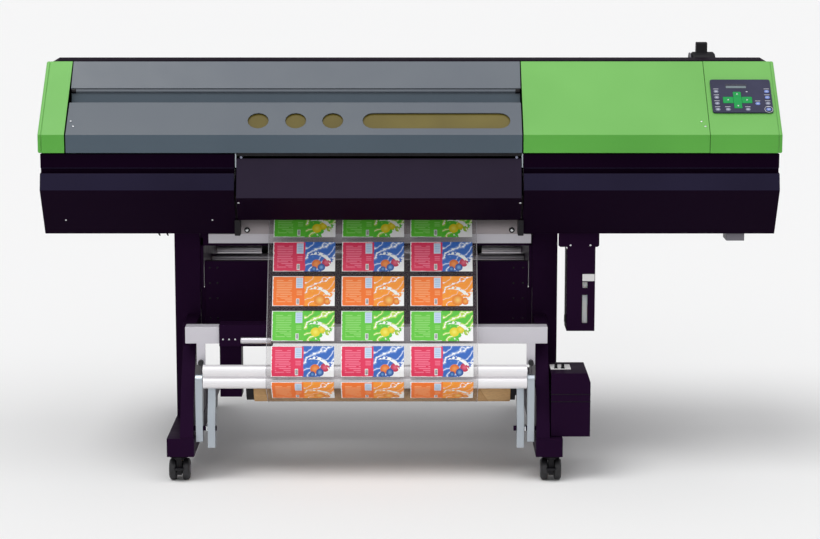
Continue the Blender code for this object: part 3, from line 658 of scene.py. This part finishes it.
# ------------------------------------------------------------------ label art
def label_print(name, panel, panel_light, art_a, art_b, art_c, blobs):
    """Ultraviolet-cured ink on white film: a plain panel ruled with pale bars, a pale box and bar strip,
    and a block of abstract swirls, splashes and round spots, with a ragged white border."""
    material, tree, shader = new_material(name, "FFFFFF", 0.32, IOR=1.5)
    uv = add(tree, "ShaderNodeTexCoord").outputs["UV"]
    wobble = add(tree, "ShaderNodeTexNoise", {"Vector": uv, "Scale": 9.0, "Detail": 2.0})
    shaken = add(tree, "ShaderNodeMix", {"Factor": 0.035}, data_type="VECTOR")
    ends = [s for s in shaken.inputs if s.type == "VECTOR" and s.name in "AB"]
    for socket, value in zip(ends, (uv, wobble.outputs["Color"])):
        tree.links.new(value, socket)
    axes = add(tree, "ShaderNodeSeparateXYZ", {"Vector": uv})
    u, v = axes.outputs["X"], axes.outputs["Y"]
    loose = add(tree, "ShaderNodeSeparateXYZ", {"Vector": shaken.outputs[1]})
    ragged_u, ragged_v = loose.outputs["X"], loose.outputs["Y"]

    def near(value, middle, reach):
        return arithmetic(tree, "COMPARE", value, middle, reach)

    def both(a, b):
        return arithmetic(tree, "MULTIPLY", a, b)

    def window(left, right, low, high, across=u, up=v):
        return both(near(across, (left + right) / 2, (right - left) / 2),
                    near(up, (low + high) / 2, (high - low) / 2))

    def paint(under, over, mask):
        mix = add(tree, "ShaderNodeMix", {"Factor": mask}, data_type="RGBA")
        sockets = [s for s in mix.inputs if s.type == "RGBA"]
        for socket, value in zip(sockets, (under, over)):
            if isinstance(value, bpy.types.NodeSocket):
                tree.links.new(value, socket)
            else:
                socket.default_value = colour(value)
        return [s for s in mix.outputs if s.type == "RGBA"][0]

    def apart_from(across, up):
        """Distance from a point in label heights; the label is twice as wide as it is high."""
        dx = both(arithmetic(tree, "SUBTRACT", u, across), 2.0)
        dy = arithmetic(tree, "SUBTRACT", v, up)
        return arithmetic(tree, "SQRT", arithmetic(tree, "ADD", both(dx, dx), both(dy, dy)))

    swirl_place = add(tree, "ShaderNodeMapping",
                      {"Vector": shaken.outputs[1], "Rotation": (0, 0, math.radians(58)),
                       "Scale": (2, 1, 1)})
    swirl = add(tree, "ShaderNodeTexWave",
                {"Vector": swirl_place.outputs["Vector"], "Scale": 1.3, "Distortion": 11.0, "Detail": 3.0,
                 "Detail Scale": 1.6})
    art = ramp(tree, swirl.outputs["Fac"], (0.0, art_a), (0.40, art_a), (0.62, art_b), (0.95, art_c),
               (1.0, "FFFFFF"))

    splash_noise = add(tree, "ShaderNodeTexNoise",
                       {"Vector": swirl_place.outputs["Vector"], "Scale": 5.0, "Detail": 3.0})
    lean = arithmetic(tree, "ADD", u, both(v, -0.62))
    rough = both(splash_noise.outputs["Fac"], 0.55)
    splash = arithmetic(tree, "GREATER_THAN", arithmetic(tree, "ADD", lean, rough), 0.99)
    art = paint(art, "F8F8F8", splash)

    for across, up, radius, skin, core in blobs:
        apart = apart_from(across, up)
        depth = arithmetic(tree, "DIVIDE", apart, radius)
        inside = arithmetic(tree, "LESS_THAN", apart, radius)
        art = paint(art, ramp(tree, depth, (0.0, core), (0.75, skin), (1.0, skin)), inside)

    # A broad white sash of broken strokes curves over the art.
    sash = near(apart_from(0.66, 0.02), 0.60, 0.055)
    strokes = add(tree, "ShaderNodeTexNoise",
                  {"Vector": swirl_place.outputs["Vector"], "Scale": 11.0, "Detail": 1.0})
    broken = arithmetic(tree, "GREATER_THAN", strokes.outputs["Fac"], 0.46)
    art = paint(art, "F6F8F4", both(both(sash, broken), near(u, 0.75, 0.20)))

    page = paint("FBFBFB", art, near(ragged_u, 0.757, 0.262))
    plain = window(0.03, 0.515, 0.03, 0.965, ragged_u, ragged_v)
    page = paint(page, panel, plain)
    rows = arithmetic(tree, "FRACT", both(v, 17.0))
    ruled = both(near(rows, 0.5, 0.22), window(0.065, 0.315, 0.10, 0.90))
    breaks = add(tree, "ShaderNodeTexNoise", {"Vector": uv, "Scale": 7.0, "Detail": 0.0})
    ruled = both(ruled, arithmetic(tree, "GREATER_THAN", breaks.outputs["Fac"], 0.38))
    page = paint(page, panel_light, ruled)
    page = paint(page, panel_light, both(near(rows, 0.5, 0.22), window(0.39, 0.475, 0.36, 0.54)))
    page = paint(page, "CFE0F2", window(0.378, 0.488, 0.60, 0.955))
    page = paint(page, "9DBCE0", both(near(rows, 0.3, 0.2), window(0.39, 0.475, 0.63, 0.93)))
    page = paint(page, "F4F4F4", window(0.382, 0.432, 0.05, 0.25))
    bars = arithmetic(tree, "FRACT", both(u, 110.0))
    page = paint(page, "2A2A30", both(near(bars, 0.5, 0.3), window(0.388, 0.426, 0.08, 0.23)))
    tree.links.new(page, shader.inputs["Base Color"])
    return material


def label_materials():
    green = label_print("lime_print", "62C93C", "98DC78", "58C63A", "8AD652", "C4E446",
                        [(0.70, 0.30, 0.15, "E8D422", "F4EC6A"), (0.80, 0.38, 0.12, "E2CC1C", "F0E65A"),
                         (0.90, 0.28, 0.09, "9CC63A", "D2E27A")])
    berry = label_print("berry_print", "E42C58", "F4809C", "2F68C0", "4A7CCC", "8FA8DC",
                        [(0.70, 0.25, 0.15, "E07028", "F09A50"), (0.86, 0.30, 0.14, "C2284C", "E06A84"),
                         (0.78, 0.14, 0.12, "1F4F9C", "7FB4E4"), (0.66, 0.08, 0.09, "1F4F9C", "6AA4DC")])
    orange = label_print("orange_print", "FB7820", "FFB078", "FF9A28", "FFB43E", "F9801E",
                         [(0.76, 0.20, 0.19, "F08A20", "F9CC70"), (0.88, 0.16, 0.12, "E87818", "F6BC58")])
    return green, berry, orange


# ------------------------------------------------------------------ groups of the machine
def dress_film(m):
    """The clear web with its three columns of die-cut labels."""
    low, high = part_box("printed_film")
    points, zero = film_route()
    route = Route(points, zero)
    start, end = route.at[0], route.at[-1]
    film = laid_on_route("clear_film_web", route, low.x, high.x, start, end, 300, 0.0, m["film"])
    thicken(film, 0.0004)
    bpy.ops.object.shade_smooth_by_angle(angle=math.radians(40))
    put(film, "base", "clear_film", "printed_film")
    trim = 0.0014
    for name, x0, x1 in (("left_film_edge", low.x, low.x + trim), ("right_film_edge", high.x - trim, high.x)):
        edge = laid_on_route(name, route, x0, x1, start, end, 300, 0.0004, m["film_edge"], 1)
        fix(thicken(edge, 0.0002), "clear_film")
    height, pitch, first = 0.0730, 0.0852, 0.0494
    columns = [(-0.3190, -0.1745), (-0.1585, -0.0140), (0.0010, 0.1455)]
    inks = label_materials()
    for row in range(-2, 6):
        top = first + row * pitch
        ink = inks[row % 3]
        tiles = [laid_on_route("label", route, x0, x1, top, top + height, 24, 0.0006, ink, 3)
                 for x0, x1 in columns]
        for tile in tiles:
            thicken(tile, 0.0002)
            bpy.ops.object.shade_smooth_by_angle(angle=math.radians(40))
        fix(joined(tiles, f"labels_row_{row + 3}"), "clear_film")


def rim_grooves(side, m):
    """Cutters for the fine groove that runs down the slant and the lip, just inside a hood end's rim."""
    x = side * 0.8415
    slant = slope_tile("slant_groove", x - 0.0009, x + 0.0009, -0.002, 0.230, -0.0018, 0.002, m["green"], 0)
    upright = block("lip_groove", (x - 0.0009, -0.330, 0.750), (x + 0.0009, -0.3232, 0.799), m["green"], 0)
    return slant, upright


def on_lip(point):
    """True for the middle of a face on the hood's upright lip."""
    return point.y < -0.3235 and point.z < 0.7965


def dress_covers(m):
    # painted shade: the upright lips of all three green covers take the darker copy of the green
    for node, side in (("left_end_cover", -1), ("panel_cover", 1)):
        finished_copy(node, m["green"], 0.0011, 3,
                      rounded=(lambda p: abs(p.x) > 0.8495 and (p.y < -0.159 or p.z > 0.95), 0.0045),
                      cutters=rim_grooves(side, m), paint=(on_lip, m["green_painted_shade"]))
    finished_copy("right_cover", m["green"], 0.0011, 3, paint=(on_lip, m["green_painted_shade"]))
    finished_copy("upper_cover", m["grey"], 0.0010, 3)
    # painted shade: the front cover's upright lip and the riser behind the hinge take the darker copy of the
    # grey
    finished_copy("front_cover", m["grey"], 0.0010, 3,
                  paint=(lambda p: on_lip(p) or (p.y > -0.2170 and p.z > 0.8610), m["grey_painted_shade"]))
    finished_copy("rear_cover", m["black"], 0.0011, 3)
    # painted reflection: each housing's band that faces slightly up is given the lighter bluish black
    for node in ("left_lower_housing", "right_lower_housing"):
        finished_copy(node, m["black"], 0.0011, 3,
                      paint=(lambda p: p.y < -0.320 and 0.6705 < p.z < 0.7078, m["painted_reflection"]))
    # painted highlight: thin strips of the lighter bluish black along each housing's ledge edge
    for name, x0, x1 in (("left_ledge_painted_highlight", -0.8450, -0.4030), ("right_ledge_painted_highlight", 0.2610, 0.8440)):
        ledge = block(name, (x0, -0.3156, 0.7187), (x1, -0.3140, 0.7200), m["painted_reflection"], 0.0003, 1)
        fix(ledge, "black_cover_plastic")
    # painted shade: the apron's downward-facing lower facet takes the darker black enamel
    finished_copy("front_apron", m["apron"], 0.0011, 3, paint=(lambda p: p.z < 0.6535, m["black"]))
    finished_copy("uv_window_pane", m["amber"], 0.0005, 2, paint=(lambda p: p.z < 0.793, m["black_matt"]))
    dress_hinge(m)
    screws("grey_cover_screws", [on_slope(-0.777, 0.041), on_slope(-0.7700, 0.0255)], SLOPE_NORMAL, 0.0021,
           m["screw"], "front_cover")
    screws("green_cover_screws", [on_slope(0.6675, 0.040), on_slope(0.6755, 0.025)], SLOPE_NORMAL, 0.0021,
           m["screw"])
    housing_face = Vector((0, -0.859, -0.512))
    screws("housing_screws", [(-0.794, -0.2909, 0.596), (-0.456, -0.2909, 0.596)], housing_face, 0.0020,
           m["screw"])
    apron_face = Vector((0, -0.757, -0.653))
    screws("apron_screws", [(-0.392, -0.3342, 0.6415), (0.252, -0.3342, 0.6415)], apron_face, 0.0026,
           m["screw"])
    for name, x0, x1 in (("left_stay", -0.4008, -0.3974), ("right_stay", 0.2556, 0.2590)):
        fix(block(name, (x0, -0.3118, 0.720), (x1, -0.296, 0.7525), m["zinc"], 0.0006), "plated_steel")
    for name, x in (("left_cushion", -0.386), ("right_cushion", 0.244)):
        cushion = rod(name, (x, -0.318, 0.7445), (x, -0.300, 0.7445), 0.0032, m["key_grey"], 20)
        fix(cushion, "black_plastic")
    for name, x0, x1 in (("left_catch", -0.4045, -0.3915), ("right_catch", 0.2490, 0.2620)):
        catch = block(name, (x0, -0.298, 0.5600), (x1, -0.262, 0.5965), m["black_matt"], 0.0012)
        fix(catch, "black_plastic")


def dress_hinge(m):
    """Rolled hem along the front cover's upper edge and the black cap on each of its pivot pins."""
    hem = rod("hinge_hem", HINGE_LINE + Vector((-0.7845, 0, 0)), HINGE_LINE + Vector((0.2545, 0, 0)),
              0.0044, m["grey"], 24)
    put(hem, "front_cover", "grey_cover_paint")
    for name, start, end in (("left_pivot_cap", -0.7855, -0.7750), ("right_pivot_cap", 0.2445, 0.2555)):
        cap = rod(name, HINGE_LINE + Vector((start, 0, 0)), HINGE_LINE + Vector((end, 0, 0)), 0.0060,
                  m["black_gloss"], 24, 0.0012)
        put(cap, "front_cover", "black_plastic")


def dress_plain(m):
    """Better finishes on solids whose shape is already right."""
    finished_copy("platen", m["platen"], 0.0006, 2,
                  rounded=(lambda p: p.y > 0.240 and p.z > 0.610 and abs(p.x + 0.1) < 0.1, 0.0120),
                  paint=(lambda p: p.z < 0.5500 and p.y < -0.1775, m["bar"]))
    look = {
        "head_frame": "zinc", "feed_roller": "zinc", "pinch_roller": "tyre",
        "print_carriage": "black_matt", "take_up_idler_flange": "black_matt",
        "take_up_drive_flange": "black_matt",
    }
    for node, material in look.items():
        finished_copy(node, m[material], 0.0006, 2)


def dress_stand(m):
    for node, x0, x1 in (("left_leg", -0.4936, -0.4774), ("right_leg", 0.2699, 0.2861)):
        finished_copy(node, m["stand"], 0.0010, 2,
                      paint=(lambda p: x0 < p.x < x1 and p.y < -0.17, m["zinc"]))
    for node in ("back_panel", "take_up_motor_box", "drain_bottle_bracket"):
        finished_copy(node, m["stand"], 0.0010, 2)
    finished_copy("tube_holder", m["stand"], 0.0010, 2,
                  paint=(lambda p: p.y < -0.331 and p.x > -0.3915, m["aluminium"]))
    finished_copy("crossbar", m["bar"], 0.0010, 2)
    finished_copy("guide_bar", m["satin"], 0.0008, 2, 50)
    for node in ("left_swing_arm", "right_swing_arm"):
        finished_copy(node, m["zinc"], 0.0012, 3)
    for node in ("front_roll_shaft", "rear_roll_shaft"):
        finished_copy(node, m["aluminium"], 0.0010, 2)
    finished_copy("take_up_tube", m["kraft"], 0.0005, 2)
    finished_copy("drain_bottle", m["bottle"], 0.0020, 3)
    finished_copy("loading_lever", m["black_matt"], 0.0012, 2)
    for number in (1, 2):
        finished_copy(f"take_up_switch_{number}", m["black_gloss"], 0.0008, 2)
    finished_copy("supply_roll", m["film"], 0.0010, 2,
                  paint=(lambda p: p.x < -0.3474 or p.x > 0.1579, m["black_matt"]))
    dress_stand_hardware(m)


def dress_stand_hardware(m):
    front = Vector((0, -1, 0))
    for name, x in (("left_knob", -0.383), ("right_knob", 0.2395)):
        knob = rod(name, (x, -0.1975, 0.559), (x, -0.2010, 0.559), 0.0068, m["black_gloss"], 28, 0.001)
        fix(knob, "black_plastic")
        screws(name + "_screw", [(x, -0.2010, 0.559)], front, 0.0034, m["screw"])
    columns, rows = (-0.476, -0.458, 0.246, 0.2685), (0.462, 0.425, 0.388, 0.340)
    places = [(x, -0.1551, z) for x in columns for z in rows]
    screws("back_panel_screws", places, front, 0.0022, m["black_gloss"])
    screws("drain_screws", [(0.3745, -0.2451, 0.530), (0.421, -0.2451, 0.530)], front, 0.0022, m["screw"])
    notice = block("drain_notice", (0.4033, -0.2457, 0.4450), (0.4316, -0.2449, 0.4617), m["notice"],
                   0.0002, 1)
    fix(notice, "black_case_paint")
    latch = block("drain_latch", (0.3625, -0.2400, 0.345), (0.3672, -0.2250, 0.362), m["black_matt"], 0.0008)
    fix(latch, "black_plastic")
    foot = block("level_foot", (0.735, -0.262, 0.5430), (0.777, -0.205, 0.5612), m["foot_grey"], 0.0015)
    fix(foot, "black_plastic")
    for name, x in (("left_clip", -0.586), ("right_clip", -0.567)):
        clip = ring(name, (x, -0.235, 0.5560), (0.4, 0, 0.2), 0.0048, 0.0013, m["black_gloss"], 24, 8)
        fix(clip, "black_plastic")
    places = [(x, -0.3306, 0.3230) for x in (-0.432, -0.418, -0.404, -0.330)]
    screws("holder_screws", places, front, 0.0020, m["screw"], "tube_holder")
    for name, x in (("left_bumper", -0.484), ("right_bumper", 0.280)):
        bumper = rod(name, (x, -0.341, 0.2685), (x, -0.3245, 0.2685), 0.0062, m["tyre"], 24, 0.0015)
        fix(bumper, "soft_rubber")
    for name, x, way in (("left_bar_screws", -0.4755, -1), ("right_bar_screws", 0.2690, 1)):
        places = [(x, -0.371, 0.2572), (x, -0.371, 0.2302)]
        screws(name, places, (way, 0, 0), 0.0040, m["screw"], "guide_frame")
    for name, x, way in (("left_pivot_nut", -0.4665, -1), ("right_pivot_nut", 0.2635, 1)):
        start = Vector((x, *SWING_PIVOT.yz))
        nut = rod(name, start, start + Vector((way * 0.004, 0, 0)), 0.0098, m["screw"], 6, 0.0008)
        put(nut, "guide_frame", "plated_steel")
    channel = block("under_channel", (-0.4972, -0.1600, 0.5157), (0.2897, -0.1500, 0.5575), m["stand"])
    fix(channel, "black_case_paint")
    for name, x0, x1 in (("left_panel_flange", -0.4977, -0.4884), ("right_panel_flange", 0.2809, 0.2902)):
        flange = block(name, (x0, -0.1565, 0.2940), (x1, -0.1525, 0.4148), m["stand"], 0.0005)
        fix(flange, "black_case_paint")
    dress_motor_box(m)
    dress_lever(m)


def dress_motor_box(m):
    """Lid seam, side seam, screws and the pale switch plate of the take-up drive box."""
    plate = block("switch_plate", (0.3255, -0.3390, 0.2535), (0.3725, -0.2840, 0.2546), m["notice"], 0.0004)
    for x in (0.338, 0.354):
        take_away(plate, block("switch_opening", (x - 0.0046, -0.3326, 0.25), (x + 0.0046, -0.3174, 0.26),
                               m["notice"], 0))
    fix(plate, "black_case_paint")
    for name, z in (("lid_seam", 0.2040), ("case_seam", 0.1870)):
        seam = block(name, (0.3238, -0.3837, z), (0.4151, -0.2535, z + 0.0011), m["black_gloss"], 0.0002, 1)
        fix(seam, "black_case_paint")
    places = [(0.4146, y, z) for y in (-0.372, -0.265) for z in (0.118, 0.222)]
    screws("motor_box_screws", places, (1, 0, 0), 0.0024, m["screw"])


def dress_lever(m):
    """Grey washer beside the loading lever's hub."""
    washer = rod("lever_washer", (0.6642, -0.065, 0.938), (0.6670, -0.065, 0.938), 0.0285, m["foot_grey"], 40,
                 0.0010)
    fix(washer, "plated_steel")


def up_slope(point):
    """Distance of a point from the crease, measured up the slant."""
    return (point - HOOD_CREASE).dot(Vector((0, math.cos(SLOPE), math.sin(SLOPE))))


def key_spot(node):
    low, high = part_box(node)
    middle = (low + high) / 2
    return middle.x, up_slope(middle)


def arrow_mark(name, x, up, turn, material):
    """A small flat triangle on a key's face, pointing as turned."""
    bpy.ops.mesh.primitive_cylinder_add(vertices=3, radius=0.0026, depth=0.0003, rotation=(0, 0, turn))
    mark = settle(bpy.context.active_object, name, material)
    mark.location = (x, up, 0.00505)
    settle(mark, name, material)
    mark.rotation_euler = (SLOPE, 0, 0)
    mark.location = HOOD_CREASE
    return settle(mark, name, material)


def dress_panel(m):
    finished_copy("control_panel", m["panel"], 0.0006, 2)
    arrows = {"up_key": 0, "down_key": math.pi, "left_arrow_key": math.pi / 2,
              "right_arrow_key": -math.pi / 2}
    for entry in frame["record"]["subparts"]:
        node = entry["node"]
        if "key" not in node:
            continue
        finished_copy(node, m[entry["material_slot"]], 0.0006, 2)
        x, up = key_spot(node)
        if node in arrows:
            mark = arrow_mark(node + "_mark", x, up, arrows[node], m["mark"])
        else:
            mark = slope_tile(node + "_mark", x - 0.0024, x + 0.0024, up - 0.0008, up + 0.0008,
                              0.0048, 0.0051, m["mark"], 0.0001)
            caption = slope_tile(node + "_caption", x - 0.0062, x + 0.0058, up + 0.0073, up + 0.0086,
                                 0.0042, 0.00445, m["mark"], 0.00008)
            fix(caption, "panel_slate")
        put(mark, body_of(node), slot_of(node))
    spots = {node: (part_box(node), key_spot(node)) for node in arrows}
    left, right = spots["left_arrow_key"][0][1].x, spots["right_arrow_key"][0][0].x
    lower, upper = spots["down_key"][1][1] + 0.0072, spots["up_key"][1][1] - 0.0072
    tiles = [("cross_centre", left + 0.0003, right - 0.0003, lower, upper, 0.0041, 0.0047, m["key_green"]),
             ("display_frame", 0.7300, 0.7787, 0.1372, 0.1512, 0.0042, 0.00455, m["display_dark"]),
             ("display_window", 0.7311, 0.7775, 0.1384, 0.1448, 0.0044, 0.0047, m["display"]),
             ("lamp", 0.7760, 0.7802, 0.1262, 0.1284, 0.0042, 0.0047, m["mark"])]
    for tile in tiles:
        fix(slope_tile(*tile), "panel_slate")
    x, up = key_spot("right_key_1")
    circle = ring("power_ring", on_slope(x, up, 0.0044), SLOPE_NORMAL, 0.0092, 0.0005, m["mark"], 48, 8)
    fix(circle, "panel_slate")


def dress_casters(m):
    """Moulded forks and treads, with a hub cap on each side and a brake pedal on the front pair."""
    hub_cap = rod("hub_cap", (-0.0018, 0, 0), (0.0018, 0, 0), 0.0105, m["foot_grey"], 28, 0.0006)
    pedal = block("brake_pedal", (-0.011, -0.003, 0.014), (0.011, 0.012, 0.019), m["black_gloss"], 0.0015, 3)
    for place in ("front_left", "front_right", "rear_left", "rear_right"):
        fork, wheels = "caster_fork_" + place, "caster_wheels_" + place
        finished_copy(fork, m["black_matt"], 0.0010, 2)
        finished_copy(wheels, m["tyre"], 0.0014, 3)
        low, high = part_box(wheels)
        middle = (low + high) / 2
        outer = [(low.x + 0.0012, middle.y, middle.z), (high.x - 0.0012, middle.y, middle.z)]
        put(joined(copies(hub_cap, outer)[1:], "hub_caps_" + place), body_of(wheels), "soft_rubber")
        if place.startswith("front"):
            low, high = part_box(fork)
            lever = copies(pedal, [((low.x + high.x) / 2, low.y, low.z)])[1]
            lever.name = lever.data.name = "brake_pedal_" + place
            put(lever, body_of(fork), "black_plastic")
    bpy.data.objects.remove(hub_cap)
    bpy.data.objects.remove(pedal)


def tilt_onto_top(strip):
    """Lay a strip, modelled flat about the origin, along the rear cover's sloping top."""
    run = TOP_EAVE - TOP_RIDGE
    strip.data.transform(Matrix.Translation((TOP_RIDGE + TOP_EAVE) / 2)
                         @ Matrix.Rotation(math.atan2(run.z, run.y), 4, "X"))


def dress_back(m):
    """Louvres, seams, mains inlet and data socket on the rear cover."""
    face = REAR_FACE
    for name, x0 in (("left_louvres", -0.760), ("right_louvres", 0.610)):
        slat = block("slat", (x0, face - 0.001, 0.770), (x0 + 0.150, face + 0.0022, 0.7745),
                     m["black_gloss"], 0.0012)
        slats = copies(slat, [(0, 0, k * 0.0095) for k in range(1, 9)])
        fix(joined(slats, name), "black_cover_plastic")
    for name, x0 in (("left_side_louvres", -0.8425), ("right_side_louvres", 0.8385)):
        slat = block("side_slat", (x0, 0.070, 0.775), (x0 + 0.004, 0.215, 0.7790), m["black_gloss"], 0.0012)
        slats = copies(slat, [(0, 0, k * 0.0085) for k in range(1, 8)])
        fix(joined(slats, name), "black_cover_plastic")
    for name, x, way in (("left_side_screws", -0.8410, -1), ("right_side_screws", 0.8395, 1)):
        places = [(x, y, z) for y in (-0.110, 0.262) for z in (0.772, 0.885)]
        screws(name, places, (way, 0, 0), 0.0028, m["screw"])
    for name, x in (("top_seam_left", -0.400), ("top_seam_right", 0.400)):
        seam = block(name, (x, -0.2065, -0.0008), (x + 0.0012, 0.2065, 0.0006), m["socket"], 0.0003, 1)
        tilt_onto_top(fix(seam, "black_cover_plastic"))
    for name, x in (("seam_left", -0.400), ("seam_middle", 0.0), ("seam_right", 0.400)):
        seam = block(name, (x, face - 0.001, 0.702), (x + 0.0012, face + 0.0006, 0.902), m["socket"],
                     0.0003, 1)
        fix(seam, "black_cover_plastic")
    inlet = block("mains_inlet", (0.700, face - 0.002, 0.714), (0.748, face + 0.0035, 0.742), m["socket"],
                  0.002, 3)
    take_away(inlet, block("inlet_recess", (0.704, face + 0.0005, 0.718), (0.744, face + 0.01, 0.738),
                           m["socket"], 0))
    fix(inlet, "black_plastic")
    pins = [block("pin", (x - 0.0012, face + 0.0004, z), (x + 0.0012, face + 0.003, z + 0.006), m["screw"],
                  0.0003)
            for x, z in ((0.715, 0.723), (0.733, 0.723), (0.724, 0.729))]
    fix(joined(pins, "inlet_pins"), "plated_steel")
    switch = block("mains_switch", (0.756, face - 0.002, 0.716), (0.774, face + 0.005, 0.740),
                   m["black_gloss"], 0.002, 3)
    fix(switch, "black_plastic")
    data = block("data_socket", (0.655, face - 0.002, 0.718), (0.672, face + 0.002, 0.738), m["zinc"], 0.0012)
    take_away(data, block("data_recess", (0.657, face, 0.7215), (0.670, face + 0.01, 0.7345), m["socket"], 0))
    fix(data, "plated_steel")
    notice = block("rating_notice", (-0.730, face - 0.001, 0.716), (-0.650, face + 0.0004, 0.752),
                   m["notice"], 0.0002, 1)
    fix(notice, "black_cover_plastic")
    columns = (-0.815, -0.410, -0.390, 0.390, 0.410, 0.805)
    places = [(x, face - 0.0004, z) for x in columns for z in (0.712, 0.890)]
    screws("rear_cover_screws", places, (0, 1, 0), 0.0028, m["screw"])


# ------------------------------------------------------------------ studio
def studio():
    """A pale floor under a bright ceiling, with three large soft lights: upper left, right and front."""
    bpy.ops.mesh.primitive_plane_add(size=60, location=(0, 0, 0))
    floor = bpy.context.active_object
    floor.name = "floor"
    material, _, _ = new_material("pale_floor", "F3F3F2", 0.9, Specular_IOR_Level=0.0)
    floor.data.materials.append(material)
    world = bpy.data.worlds.new("studio")
    world.use_nodes = True
    tree = world.node_tree
    place = add(tree, "ShaderNodeTexCoord").outputs["Generated"]
    height = add(tree, "ShaderNodeSeparateXYZ", {"Vector": place}).outputs["Z"]
    sky = ramp(tree, height, (0.0, "8E8E90"), (0.5, "C2C2C4"), (1.0, "DDDDE0"))
    tree.links.new(sky, tree.nodes["Background"].inputs["Color"])
    tree.nodes["Background"].inputs["Strength"].default_value = 0.88
    bpy.context.scene.world = world

    def soft_sun(name, direction, strength, spread):
        data = bpy.data.lights.new(name, "SUN")
        data.energy = strength
        data.angle = math.radians(spread)
        lamp = bpy.data.objects.new(name, data)
        lamp.rotation_euler = Vector(direction).to_track_quat("-Z", "Y").to_euler()
        bpy.context.collection.objects.link(lamp)

    soft_sun("key_light", (0.34, 0.30, -0.90), 1.20, 35)
    soft_sun("fill_light", (-0.40, 0.30, -0.86), 0.50, 50)
    soft_sun("front_light", (0.10, 0.92, -0.38), 0.26, 40)
    bpy.context.scene.view_settings.view_transform = "Standard"


def build():
    bpy.ops.object.select_all(action="DESELECT")
    set_camera()
    m = make_materials()
    dress_covers(m)
    dress_plain(m)
    dress_stand(m)
    dress_panel(m)
    dress_casters(m)
    dress_back(m)
    dress_film(m)
    studio()


build()
